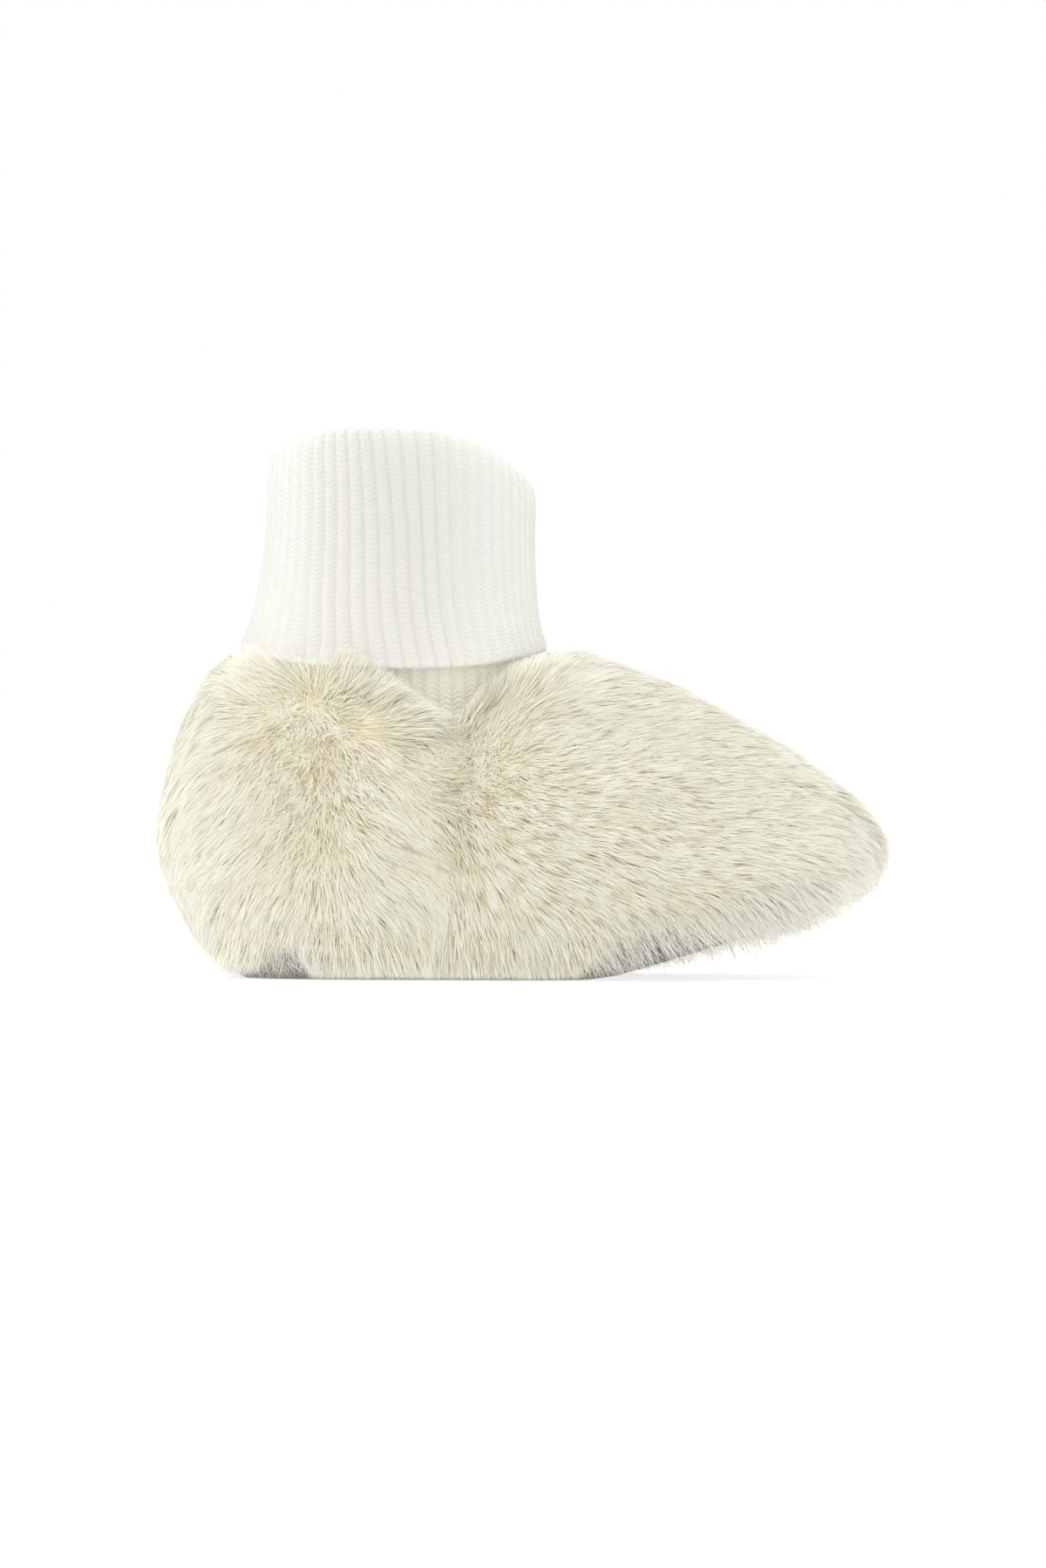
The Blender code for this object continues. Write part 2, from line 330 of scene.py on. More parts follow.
VAMP_FRONT_FALL = 0.3
BACK_X = -47.0 * MM  # behind this line the pile lies close
RIPPLE_WAVES = 3  # waves of each length in a ripple
RIPPLE_GAIN = 1.7  # brings a sum of waves back to about 1


def seam_x(height):
    """Where the side seam is at a height."""
    share = np.clip(height / SEAM_TOP_Z, 0.0, SEAM_RUN_ON)
    return SEAM_FOOT_X + (SEAM_TOP_X - SEAM_FOOT_X) * share ** 2


def away_from(places, whorl):
    """Directions away from a whorl, as seen from the side."""
    return unit((places - whorl) * SIDE_VIEW)


def heel_flow(places):
    """The way the heel's pile is combed: out from its whorl, and falling to both sides of a parting below."""
    x, z = places[:, 0], places[:, 2]
    wander = PARTING_WANDER * ripple(places, PARTING_WAVES, SEED + 2)
    sideways = np.tanh((x - HEEL_WHORL[0] + wander) / HEEL_PARTING_HALF)
    fall = HEEL_FALL * ramp(*HEEL_FALL_Z, z)
    parted = unit(np.stack((sideways, np.zeros_like(x), -fall), axis=1))
    at_top = ramp(*HEEL_WHORL_Z, z)[:, None]
    at_back = (ramp(*HEEL_BACK_X, x) * (0.3 + 0.7 * ramp(*HEEL_BACK_Z, z)))[:, None]
    flow = away_from(places, HEEL_WHORL) * at_top + parted * (1.0 - at_top)
    return flow * (1.0 - 0.85 * at_back) - HEEL_BACK_FALL * at_back * UP


def vamp_flow(places):
    """The way the vamp's pile is combed: out from its whorl and towards the toe."""
    flow = away_from(places, VAMP_WHORL) + VAMP_TOEWARD * TOEWARD
    fall = VAMP_FRONT_FALL * ramp(*VAMP_FRONT_X, places[:, 0])[:, None]
    return flow * (1.0 - fall) - fall * UP


def ripple(places, lengths, seed):
    """A smooth field of values between -1 and 1 that wanders over about these lengths."""
    rng = np.random.default_rng(seed)
    total = np.zeros(len(places))
    for length in lengths:
        for _ in range(RIPPLE_WAVES):
            wave = unit(rng.normal(size=3)) * 2.0 * pi / length
            total += np.sin(places @ wave + rng.uniform(0.0, 2.0 * pi))
    return total / (RIPPLE_WAVES * len(lengths)) * RIPPLE_GAIN


def turned(vectors, axes, angles):
    """Vectors turned about axes at right angles to them."""
    return vectors * np.cos(angles)[:, None] + np.cross(axes, vectors) * np.sin(angles)[:, None]


def along_surface(vectors, normals):
    """The part of vectors that runs along the surface."""
    return vectors - normals * np.sum(vectors * normals, axis=1, keepdims=True)


def settle(places, surface, strays):
    """Lays points on the pile's surface. Points that run past an edge of it stay where they are."""
    settled = places.copy()
    normals = np.empty_like(places)
    for i, place in enumerate(places):
        spot, normal, _, _ = surface.tree.find_nearest(Vector(place))
        gap = np.array(spot) - place
        normals[i] = normal
        slide = gap - normals[i] * (gap @ normals[i])
        if slide @ slide < strays * strays:
            settled[i] = spot
    return settled, normals


CUFF_HEM_Z = 56.0 * MM  # the turned-down cuff, which the collar's pile lies over
CUFF_LOW_Z = 66.5 * MM
CUFF_HEM_REACH = np.array((26.4, 27.5, 24.6)) * MM  # forwards, backwards and sideways from the axis
CUFF_LOW_REACH = np.array((24.5, 26.3, 23.1)) * MM
CUFF_CORE = 0.2  # share of the reach: points nearer the axis are pushed as those here are


def clear_of_cuff(places):
    """Moves points that would lie in the turned-down cuff out to its face."""
    share = np.clip((places[:, 2] - CUFF_HEM_Z) / (CUFF_LOW_Z - CUFF_HEM_Z), 0.0, 1.0)[:, None]
    reach = CUFF_HEM_REACH + (CUFF_LOW_REACH - CUFF_HEM_REACH) * share
    away = places - COLLAR_AXIS
    along = away[:, 0] / np.where(away[:, 0] > 0.0, reach[:, 0], reach[:, 1])
    inside = np.hypot(along, away[:, 1] / reach[:, 2])
    in_cuff = (places[:, 2] > CUFF_HEM_Z) & (inside < 1.0)
    push = np.where(in_cuff, 1.0 / np.maximum(inside, CUFF_CORE), 1.0)
    return COLLAR_AXIS + away * np.stack((push, push, np.ones_like(push)), axis=1)


FRINGE = np.array((  # x, and where the pile ends over the sole's underside on the right and on the left
    (-53, 0, 0), (-46.5, 2.4, 2.4), (-44.5, 5.4, 5.4), (-40, 5.4, 5.4), (-37.5, 0, 0), (9, 0, 0),
    (14, 3.4, 0), (20, 5.4, -0.6), (25, 6.0, -0.8), (32, 4.2, -0.8), (40, 1.6, -0.8), (44, -0.4, -0.6),
    (48, -0.8, -0.8), (54, 0.2, 0.2), (58, 1.2, 1.2), (65, 4.2, 4.2))) * MM
VEIL = np.array((  # x, and share of the low fibres that hang as a veil over the sole, right and left
    (-53, 0.0, 0.0), (-48, 0.3, 0.3), (-40, 0.3, 0.3), (-36, 0.0, 0.0), (8, 0.0, 0.0), (12, 0.3, 0.5),
    (20, 0.35, 0.9), (27, 0.45, 0.85), (46, 0.6, 0.6), (58, 0.0, 0.0))) * (MM, 1.0, 1.0)
WISPS = 0.05  # share of the other fibres that hang over the sole
WISP_DROP = 4.6 * MM  # how far the veil and the wisps hang below the edge of the lifted sole
WISP_TONE = -1.0  # a fibre's tone is 0 to 1, and this for a wisp
HEEL_TUCK = 3.2 * MM
HEEL_TUCK_X = mm(-50, -57.5)
RIM = np.array((  # x and height of the collar's rim, from the heel to the front, as in the solid
    (-54, 57.2), (-46, 55.5), (-38, 54.2), (-30, 53.3), (-26, 51.7), (-22, 49.1), (-18, 46.8), (-14.5, 45.5),
    (-10, 47.3), (-6, 50.0), (-2, 52.8), (2, 55.2), (9, 58.2))) * MM
FUR_TOP = np.array((  # x and height that the pile's tips reach over the rim and the cuff's hem
    (-64, 40.0), (-62.3, 44.6), (-60.8, 49.0), (-58, 52.6), (-55, 55.6), (-51.4, 57.6), (-48.5, 59.4),
    (-38, 59.2), (-30, 58.4), (-26.4, 56.4), (-22, 52.8), (-18, 49.9), (-12.4, 46.4), (-10, 48.7),
    (-6, 53.8), (-2, 56.0), (4.3, 57.2), (11, 57.2), (16, 56.5), (24.7, 53.0))) * MM
NEAR_RIM = mm(10, 1)  # below the rim
NEAR_RIM_FRONT_X = mm(14, 9)
FREE_BELOW_RIM = mm(9, 3)
FREE_FRONT_X = mm(8, 2)
FREE_BACK_X = mm(-54, -46)


def column_at(table, x, column=1):
    """A column of a table whose first one is x."""
    return np.interp(x, table[:, 0], table[:, column])


def by_side(places, table):
    """Values of a table whose columns are x, right and left."""
    x = places[:, 0]
    return np.where(places[:, 1] < 0.0, column_at(table, x), column_at(table, x, 2))


def heel_tuck(x):
    """How far the hem's corner is rounded up behind the heel."""
    return HEEL_TUCK * ramp(*HEEL_TUCK_X, x)


def fringe_over_sole(places):
    """Height over the sole's underside where the pile ends: the sole's dark suede, drawn up the shell past
    the sole's edge as painted shade, shows where the fringe is short.
    """
    return by_side(places, FRINGE) + heel_tuck(places[:, 0])


def seam_trough(places):
    """Depth of the soft crease beside the side seam, where the heel's pile hangs over the vamp's."""
    past = places[:, 0] - seam_x(places[:, 2])
    along_seam = ramp(*SEAM_TROUGH_FOOT_Z, places[:, 2]) * ramp(*SEAM_TROUGH_TOP_Z, places[:, 2])
    return SEAM_TROUGH * np.exp(-(past / SEAM_TROUGH_HALF) ** 2) * along_seam


def below_rim_line(places):
    """How far points lie below the collar's rim."""
    return column_at(RIM, places[:, 0]) - places[:, 2]


def near_rim(places):
    """1 at the collar's rim, fading to 0 some way below it."""
    return ramp(*NEAR_RIM, below_rim_line(places)) * ramp(*NEAR_RIM_FRONT_X, places[:, 0])


def stands_free(places):
    """How much the pile stands free of the wall, to close over the cuff's hem: all of it near the rim."""
    x = places[:, 0]
    return ramp(*FREE_BELOW_RIM, below_rim_line(places)) * ramp(*FREE_FRONT_X, x) * ramp(*FREE_BACK_X, x)


HANG_HEEL = 24  # millimetres over the sole where the pile begins to hang, at the heel and at the toe
HANG_TOE = 13
HANG_X = mm(-10, 15)
HANG_FULL = 3 * MM
HANG_PULL = 1.2  # how strongly it hangs, against the way it is combed
HANG_TOE_FADE_X = mm(34, 52)
CLIMB_SIDE_X = mm(-20, -29)
VAMP_CLIMB = 1.3  # how strongly the pile climbs to the rim
HEEL_CLIMB = 1.6
LIE_WANDER = 0.25  # radians
LIE_WAVES = mm(9, 17)
VAMP_STAND_X = mm(8, 1)
HEEL_STAND_X = mm(-18, -28)
LEAN_BACK_X = mm(-38, -50)


def lie_of_pile(places, normals, on_vamp, on_rim):
    """The way each fibre is combed: along the surface, up to the cuff's hem, and up and out on the rim."""
    x, z = places[:, 0], places[:, 2]
    raw = unit(np.where(on_vamp[:, None], vamp_flow(places), heel_flow(places)))
    hang_below = (HANG_HEEL - (HANG_HEEL - HANG_TOE) * ramp(*HANG_X, x)) * MM
    hang = ramp(hang_below, HANG_FULL, z - sole_rise(x)) * (1.0 - 0.7 * ramp(*HANG_TOE_FADE_X, x))
    at_sides = ramp(*CLIMB_SIDE_X, x) * ramp(*FREE_BACK_X, x)
    climb = near_rim(places) * np.where(on_vamp, VAMP_CLIMB, HEEL_CLIMB * at_sides)
    flow = unit(along_surface(raw + UP * (climb - HANG_PULL * hang)[:, None], normals))
    flow = turned(flow, normals, LIE_WANDER * ripple(places, LIE_WAVES, SEED))
    out = outwards(places)
    inward = np.minimum(np.sum(flow * out, axis=1), 0.0)
    flow = unit(flow - out * (inward * stands_free(places))[:, None])
    stand = np.where(on_vamp, 0.9 * ramp(*VAMP_STAND_X, x), ramp(*HEEL_STAND_X, x))[:, None]
    lean_out = (0.45 - 0.45 * stand[:, 0] - 0.5 * ramp(*LEAN_BACK_X, x))[:, None]
    rim_flow = unit(lean_out * out + (1.1 * stand - 0.05) * UP + (0.8 - 0.3 * stand) * flow)
    on_rim = on_rim[:, None]
    return unit(rim_flow * on_rim + flow * (1.0 - on_rim))


def near_to(places, spot, radius):
    """1 at a spot seen from the side, fading to 0 about a radius away."""
    return np.exp(-np.sum(((places - spot) * SIDE_VIEW) ** 2, axis=1) / radius ** 2)


SLEEK_TOE_X = mm(24, 56)
SLEEK_BACK_X = mm(-44, -60)
SLEEK_TOP_TILT = (0.3, 0.75)  # upward share of the normal
SLEEK_TOP_X = mm(-5, 8)


def sleekness(places, normals):
    """How smooth the pile lies: at the toe, at the back and on top of the vamp it hardly parts in tufts."""
    x = places[:, 0]
    sleek = np.maximum(0.85 * ramp(*SLEEK_TOE_X, x), 0.7 * ramp(*SLEEK_BACK_X, x))
    return np.maximum(sleek, 0.8 * ramp(*SLEEK_TOP_TILT, normals[:, 2]) * ramp(*SLEEK_TOP_X, x))


def tufts_of(surface, places, spacing, rng):
    """Middles of the tufts, and which tuft each fibre is nearest to."""
    a, b, c = corner_points(surface.points, surface.triangles)
    area = 0.5 * np.linalg.norm(np.cross(b - a, c - a), axis=1).sum()
    middles, _ = scatter(surface, int(area / spacing ** 2), rng)
    tree = KDTree(len(middles))
    for i, middle in enumerate(middles):
        tree.insert(Vector(middle), i)
    tree.balance()
    return middles, np.array([tree.find(Vector(place))[1] for place in places])


FREE_FRINGE = 0.6  # share of the lowest fibres that hang free of the wall
FREE_OVER_SOLE = mm(13, 3)
FREE_HEEL_END_X = mm(-50, -60)
FREE_TOE_END_X = mm(34, 48)
VEIL_OVER_SOLE = mm(13, 4)
VEIL_LONG_X = mm(18, 26)
HUNG_LENGTH = (0.7, 1.15)  # shares of a fibre's sweep
VEIL_LENGTH = (0.9, 1.8)
HUNG_SPREAD = 0.12  # how far the fibres' ways differ
VEIL_SPREAD = 0.15
FLOOR_CLEARANCE = mm(0.05, 0.3)
FRINGE_RAGGED = 0.45 * MM  # spread of the fringe's ends, and how far they stray along it
FRINGE_STRAY = 0.9 * MM
SHORTEST_FIBRE = 0.1  # share of its length that the fringe leaves of a fibre
LEAST_DROP = 0.1 * MM


def fringe_tips(places, tips, flow, out, sweep, wisp, rng):
    """Tips of the low pile, and which fibres are in the veil.

    Part of it hangs free of the wall, and it ends at the floor or over the sole's edge.
    """
    count = len(places)
    x, z = places[:, 0], places[:, 2]
    over_sole = z - sole_rise(x)
    at_ends = np.maximum(ramp(*FREE_HEEL_END_X, x), ramp(*FREE_TOE_END_X, x))
    free = rng.random(count) < FREE_FRINGE * ramp(*FREE_OVER_SOLE, over_sole) * (1.0 - 0.85 * at_ends)
    fall = unit(0.9 * flow - 0.55 * UP + 0.1 * out + rng.normal(0.0, HUNG_SPREAD, (count, 3)))
    hung = places + fall * (sweep * rng.uniform(*HUNG_LENGTH, count))[:, None]
    tips = np.where(free[:, None], hung, tips)
    veil = rng.random(count) < by_side(places, VEIL) * ramp(*VEIL_OVER_SOLE, over_sole)
    droop = unit(0.55 * TOEWARD - 0.8 * UP + 0.1 * out + rng.normal(0.0, VEIL_SPREAD, (count, 3)))
    trail = sweep * rng.uniform(*VEIL_LENGTH, count) * (1.0 + 0.35 * ramp(*VEIL_LONG_X, x))
    tips = np.where(veil[:, None], places + droop * trail[:, None], tips)
    floor = rng.uniform(*FLOOR_CLEARANCE, count)
    short = fringe_over_sole(tips + rng.normal(0.0, FRINGE_STRAY, (count, 1)) * TOEWARD)
    end = short + rng.normal(0.0, 1.0, count) * (FRINGE_RAGGED + 0.15 * np.maximum(short, 0.0))
    wisp_end = rng.uniform(-WISP_DROP, 0.15 * WISP_DROP, count)
    end = np.where(veil | wisp, np.minimum(end, wisp_end), end)
    end_z = np.maximum(floor, sole_rise(tips[:, 0]) + end)
    drop = np.maximum(z - tips[:, 2], LEAST_DROP)
    kept = np.clip((z - end_z) / drop, SHORTEST_FIBRE, 1.0)[:, None]
    return places + (tips - places) * kept, veil


FUR_TOP_PAST = mm(0.3, 0.6)  # how far tips grow past the top line: the mean and the spread
CLOSE_PILE = 0.4 * MM  # how far tips at the back may stand over the wall


def collar_tips(places, tips, laid, rng):
    """Tips that don't grow far past the line that the pile reaches over the rim and the cuff's hem."""
    x = places[:, 0]
    top = column_at(FUR_TOP, tips[:, 0]) + rng.normal(*FUR_TOP_PAST, len(tips))
    close = np.minimum(laid[:, 2], column_at(RIM, x)) + CLOSE_PILE
    top = np.where(x < BACK_X, np.maximum(top, close), top)
    tips[:, 2] = np.where(x < FUR_TOP[-1, 0], np.minimum(tips[:, 2], top), tips[:, 2])
    return clear_of_cuff(tips)


FIBRE_STEPS = (0.12, 0.6, 1.0)  # shares of a fibre's curve where its ribbon has points


def fibre_paths(feet, rise, late, tips):
    """Points of each fibre, on a cubic curve that rises from its foot and lies down to its tip."""
    steps = np.array(FIBRE_STEPS)[None, :, None]
    left = 1 - steps
    return (left ** 3 * feet[:, None] + 3 * left ** 2 * steps * rise[:, None]
            + 3 * left * steps ** 2 * late[:, None] + steps ** 3 * tips[:, None])


Fibres = namedtuple("Fibres", "paths sides tones widths places on_vamp")

ON_RIM_TILT = (0.6, 0.15)  # outward share of the normal
ON_RIM_Z = 43 * MM
ON_RIM_X = 9.5 * MM
HEEL_WHORL_CORE = 6 * MM
WHORL_RADIUS = 9 * MM
PARTING_RADIUS = 7 * MM
PARTING_Z = mm(12, 30)
SHALLOW_Z = mm(48, 55)
TUFT_TURN = 0.09  # radians
TUFT_LIFT = 0.2 * MM
TUFT_LENGTH = (0.82, 1.06)  # shares of the sweep
TUFT_TONE = (-0.4, 0.4)
TUFT_PULL = (0.03, 0.3)  # share of the way that a tuft's fibres gather to its middle
FIBRE_PULL = (0.7, 1.1)
FIBRE_LENGTH = (0.75, 1.1)
FIBRE_DEPTH = (0.8, 1.0)
TURNED_BACK = 0.45  # share of the tufts round a whorl that are brushed back
SETTLE_REACH = 1.2 * MM
STRAYS = 0.03  # share of fibres that stand up from the rest
STRAY_LIFT = 1.2 * MM
PILE_WAVE = 0.35 * MM
PILE_WAVES = mm(5, 8)
FIBRE_LIFT = mm(-0.35, 0.22)  # mean and spread
SLEEK_LIFT = 0.7 * MM
MOST_LIFT = 1.5 * MM
FINE_OVER_SOLE = 12 * MM
WISP_CURL = 0.45 * MM
RIBBON_TILT = 0.3  # radians
PALE_TOE_X = mm(38, 60)
FINE_TOE_X = mm(24, 36)


def comb(surface, settings, rng):
    """Fibres all over the pile: paths, ribbon sides, tones, widths and places, and which are on the vamp."""
    places, normals = scatter(surface, settings.strands, rng)
    wisp = rng.random(len(places)) < WISPS
    kept = wisp | (places[:, 2] > sole_rise(places[:, 0]) + fringe_over_sole(places))
    places, normals, wisp = places[kept], normals[kept], wisp[kept]
    count = len(places)
    x, z = places[:, 0], places[:, 2]
    on_right = places[:, 1] < 0.0
    out = outwards(places)
    on_vamp = x > seam_x(z)
    on_rim = ramp(*ON_RIM_TILT, np.sum(normals * out, axis=1)) * ((z > ON_RIM_Z) & (x < ON_RIM_X))
    flow = lie_of_pile(places, normals, on_vamp, on_rim)

    # tufts: each fibre leans to the nearest tuft's middle, and shares its length, lift and tone
    tuft_places, mine = tufts_of(surface, places, settings.tuft, rng)
    tufts = len(tuft_places)
    smooth = 1.0 - 0.8 * sleekness(places, normals)
    tuft_turn = rng.normal(0.0, TUFT_TURN, tufts)[mine]
    tuft_length = rng.uniform(*TUFT_LENGTH, tufts)[mine]
    tuft_lift = rng.normal(0.0, TUFT_LIFT, tufts)[mine] * smooth
    # a tuft's tone is random, plus painted shade: a tuft that lies lower gets a darker tone
    tuft_tone = 0.4 + (rng.uniform(*TUFT_TONE, tufts)[mine] - 1.2 * tuft_lift / MM) * smooth
    tuft_pull = rng.uniform(*TUFT_PULL, tufts)[mine] * smooth

    # whorls and parting: the pile is ruffled, shorter and partly brushed back there
    below_rim = 1.0 - near_rim(places)
    near_vamp_whorl = near_to(places, VAMP_WHORL, WHORL_RADIUS)
    near_heel_whorl = near_to(places, HEEL_WHORL, HEEL_WHORL_CORE)
    near_whorl = np.maximum(near_vamp_whorl, near_heel_whorl)
    near_parting = np.exp(-((x - HEEL_WHORL[0]) / PARTING_RADIUS) ** 2) * ramp(*PARTING_Z, z) * below_rim
    ruffle = 0.12 + 0.4 * np.maximum(near_whorl, near_parting) + 0.9 * near_whorl ** 3
    turn = tuft_turn * (1.0 + 2.0 * near_parting) + rng.normal(0.0, 1.0, count) * ruffle
    flow = turned(flow, normals, turn)
    round_whorl = np.maximum(near_vamp_whorl, near_to(places, HEEL_WHORL, WHORL_RADIUS)) * below_rim
    flow = np.where((rng.random(tufts)[mine] < TURNED_BACK * round_whorl)[:, None], -flow, flow)
    sweep = settings.sweep * tuft_length * rng.uniform(*FIBRE_LENGTH, count)
    sweep *= np.where(on_vamp, 0.85 + 0.25 * near_rim(places), 1.1 - 0.4 * near_parting)
    sweep *= 1.0 - 0.3 * near_whorl * below_rim
    sweep *= (1.0 - 0.25 * on_rim) * (1.0 + 0.25 * stands_free(places))
    depth = settings.depth * rng.uniform(*FIBRE_DEPTH, count)
    depth *= (1.0 - 0.5 * ramp(*SHALLOW_Z, z)) * (1.0 - 0.6 * on_rim)

    # feet and tips
    feet = places - normals * depth[:, None]
    gather = along_surface(tuft_places[mine] - places, normals)
    pull = tuft_pull * rng.uniform(*FIBRE_PULL, count)
    ends = places + flow * sweep[:, None] + gather * pull[:, None]
    laid, tip_normals = settle(ends, surface, SETTLE_REACH)
    loose = np.maximum(on_rim, stands_free(places))[:, None]
    tips = laid + (ends - laid) * loose
    stray = rng.random(count) < STRAYS
    waves = PILE_WAVE * ripple(places, PILE_WAVES, SEED + 1) * smooth
    lift = tuft_lift + waves - np.where(on_vamp, seam_trough(tips), 0.0)
    lift += rng.normal(*FIBRE_LIFT, count) * smooth + np.where(stray, STRAY_LIFT, 0.0) * smooth
    lift += SLEEK_LIFT * (1.0 - smooth)
    tips = tips + tip_normals * np.minimum(lift, MOST_LIFT)[:, None]
    tips, veil = fringe_tips(places, tips, flow, out, sweep, wisp, rng)
    tips = collar_tips(places, tips, laid, rng)

    # ribbons: wisps and the veil are finer and curl
    rise = feet + normals * (0.8 * depth)[:, None] + flow * (0.15 * sweep)[:, None]
    late = tips - unit(tips - rise) * (0.35 * sweep)[:, None]
    paths = fibre_paths(feet, rise, late, tips)
    fine = veil | (wisp & (z - sole_rise(x) < FINE_OVER_SOLE))
    curl = rng.normal(0.0, WISP_CURL, (count, 3)) * np.where(fine, 1.0, 0.0)[:, None]
    paths[:, 1] = clear_of_cuff(paths[:, 1] + curl)
    paths[:, 2] -= 1.2 * curl
    paths[:, :, 2] = np.maximum(paths[:, :, 2], FLOOR_CLEARANCE[0])
    run = unit(paths[:, 2] - paths[:, 1])
    sides = turned(unit(np.cross(run, normals)), run, rng.uniform(-RIBBON_TILT, RIBBON_TILT, count))
    # painted shade: a darker tone round the heel's whorl and parting and in the seam's trough
    painted_crease_shade = 0.22 * np.maximum(near_heel_whorl, near_parting) + 0.2 * seam_trough(places) / MM
    tones = np.clip(0.6 * tuft_tone + 0.4 * rng.random(count) + painted_crease_shade, 0.0, 1.0)
    paler = 0.5 * ramp(*PALE_TOE_X, x)
    fine_tone = WISP_TONE * np.where(on_right, 1.0, 0.5)
    tones = np.where(fine, fine_tone, tones * (1.0 - paler) + WISP_TONE * paler)
    fine_share = np.where(on_right, 0.7 + 0.2 * ramp(*FINE_TOE_X, x), 1.0)
    widths = settings.width * np.where(fine, fine_share, 1.0)
    return Fibres(paths, sides, tones, widths, places, on_vamp)


RIBBON_TAPER = 0.85  # width at a fibre's bend, as a share of its foot's
RIBBON_CORNERS = np.array((0, 1, 3, 2, 2, 3, 4))  # a quad from the foot to the bend, and a point to the tip
RIBBON_STARTS = np.array((0, 4))
RIBBON_SHARES = np.array((0.0, 0.0, 0.55, 0.55, 1.0))  # share of the length at each of a ribbon's points


def strand_mesh(name, pile, here):
    """Joins some fibres into one mesh of ribbons, with (tone, share of length) as their UV."""
    paths, sides = pile.paths[here], pile.sides[here]
    count = len(paths)
    half = sides * (0.5 * pile.widths[here])[:, None]
    taper = RIBBON_TAPER * half
    foot, bend, tip = paths[:, 0], paths[:, 1], paths[:, 2]
    points = np.stack((foot - half, foot + half, bend - taper, bend + taper, tip), axis=1).reshape(-1, 3)
    order = np.arange(count)[:, None]
    corners = (order * len(RIBBON_SHARES) + RIBBON_CORNERS).ravel()
    loop_starts = (order * len(RIBBON_CORNERS) + RIBBON_STARTS).ravel()
    mesh = bpy.data.meshes.new(name)
    mesh.vertices.add(len(points))
    mesh.vertices.foreach_set("co", points.astype(np.float32).ravel())
    mesh.loops.add(len(corners))
    mesh.loops.foreach_set("vertex_index", corners.astype(np.int32))
    mesh.polygons.add(len(loop_starts))
    mesh.polygons.foreach_set("loop_start", loop_starts.astype(np.int32))
    mesh.update(calc_edges=True)
    uv = np.empty((count, len(RIBBON_CORNERS), 2))
    uv[:, :, 0] = pile.tones[here][:, None]
    uv[:, :, 1] = RIBBON_SHARES[RIBBON_CORNERS]
    mesh.uv_layers.new(name="OFBake").data.foreach_set("uv", uv.astype(np.float32).ravel())
    mesh.shade_smooth()
    return mesh


FIBRE_CLEAR = 0.2  # share of the light that goes on through a fibre


def fur_material(settings):
    """Modacrylic pile: fine, matt, slightly see-through fibres, so light sinks in and warms the gaps; their
    darker, warmer feet are painted shade, and so is part of the straw tone.
    """
    material = new_material("ivory_modacrylic_pile")
    uv = add_node(material, "ShaderNodeUVMap", uv_map="OFBake")
    parts = add_node(material, "ShaderNodeSeparateXYZ", {"Vector": uv.outputs["UV"]})
    reach = add_node(material, "ShaderNodeMapRange", {
        "Value": parts.outputs["Y"], "From Min": 0.25, "From Max": 0.95})
    # painted shade: each fibre runs from the darker feet colour to the tip colour along its length
    length = add_node(material, "ShaderNodeMix", {
        "Factor": reach.outputs["Result"], "A": linear(settings.foot_shade_colour),
        "B": linear(settings.tip_colour)}, data_type="RGBA")
    # tones over a half mix towards straw: odd fibres at random, and painted shade where the tone was raised
    # for it
    odd = add_node(material, "ShaderNodeMapRange", {
        "Value": parts.outputs["X"], "From Min": 0.5, "From Max": 1.0, "To Min": 0.0, "To Max": 0.6})
    colour = add_node(material, "ShaderNodeMix", {
        "Factor": odd.outputs["Result"], "A": length.outputs["Result"], "B": linear(settings.straw_and_shade_colour),
    }, data_type="RGBA")
    # the wisps and the veil take the wisp colour, greyed as painted shade; towards the toe, fibres take part
    # of it
    pale = add_node(material, "ShaderNodeMapRange", {
        "Value": parts.outputs["X"], "From Min": 0.0, "From Max": WISP_TONE})
    colour = add_node(material, "ShaderNodeMix", {
        "Factor": pale.outputs["Result"], "A": colour.outputs["Result"], "B": linear(settings.shaded_wisp_colour),
    }, data_type="RGBA")
    shader = add_node(material, "ShaderNodeBsdfPrincipled", {
        "Base Color": colour.outputs["Result"], "Roughness": 0.62, "IOR": 1.45,
        "Specular IOR Level": 0.3, "Sheen Weight": 0.1, "Sheen Roughness": 0.5})
    through = add_node(material, "ShaderNodeBsdfTranslucent", {"Color": linear(settings.through_colour)})
    both = add_node(material, "ShaderNodeMixShader", {
        0: FIBRE_CLEAR, 1: shader.outputs[0], 2: through.outputs[0]})
    add_node(material, "ShaderNodeOutputMaterial", {"Surface": both.outputs[0]})
    return material


class SLIPPER_OT_fur(Operator):
    """Combs the pile of the toe, the vamp and the heel, a left and a right lot of each"""
    bl_idname = "slipper.fur"
    bl_label = "Comb the Fur"

    def execute(self, context):
        settings = context.scene.slipper_fur
        material = fur_material(settings)
        pile = comb(pile_surface(), settings, np.random.default_rng(SEED))
        on_left = pile.places[:, 1] > 0.0
        on_toe = pile.places[:, 0] > TOE_PANEL_X
        panels = (("toe", on_toe), ("vamp", pile.on_vamp & ~on_toe), ("heel", ~pile.on_vamp))
        for panel, mine in panels:
            for side, here in (("left", mine & on_left), ("right", mine & ~on_left)):
                name = f"{panel}_fur_{side}"
                mesh = strand_mesh(name, pile, here)
                mesh.materials.append(material)
                piece = bpy.data.objects.new(name, mesh)
                context.scene.collection.objects.link(piece)
                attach(piece, BODY)
        return {"FINISHED"}


# Shell: fur backing and lining

BACKING_GRAIN = 1.5 * MM  # mottle over a few of the backing's stitches
FLEECE_PILLS = 0.9 * MM


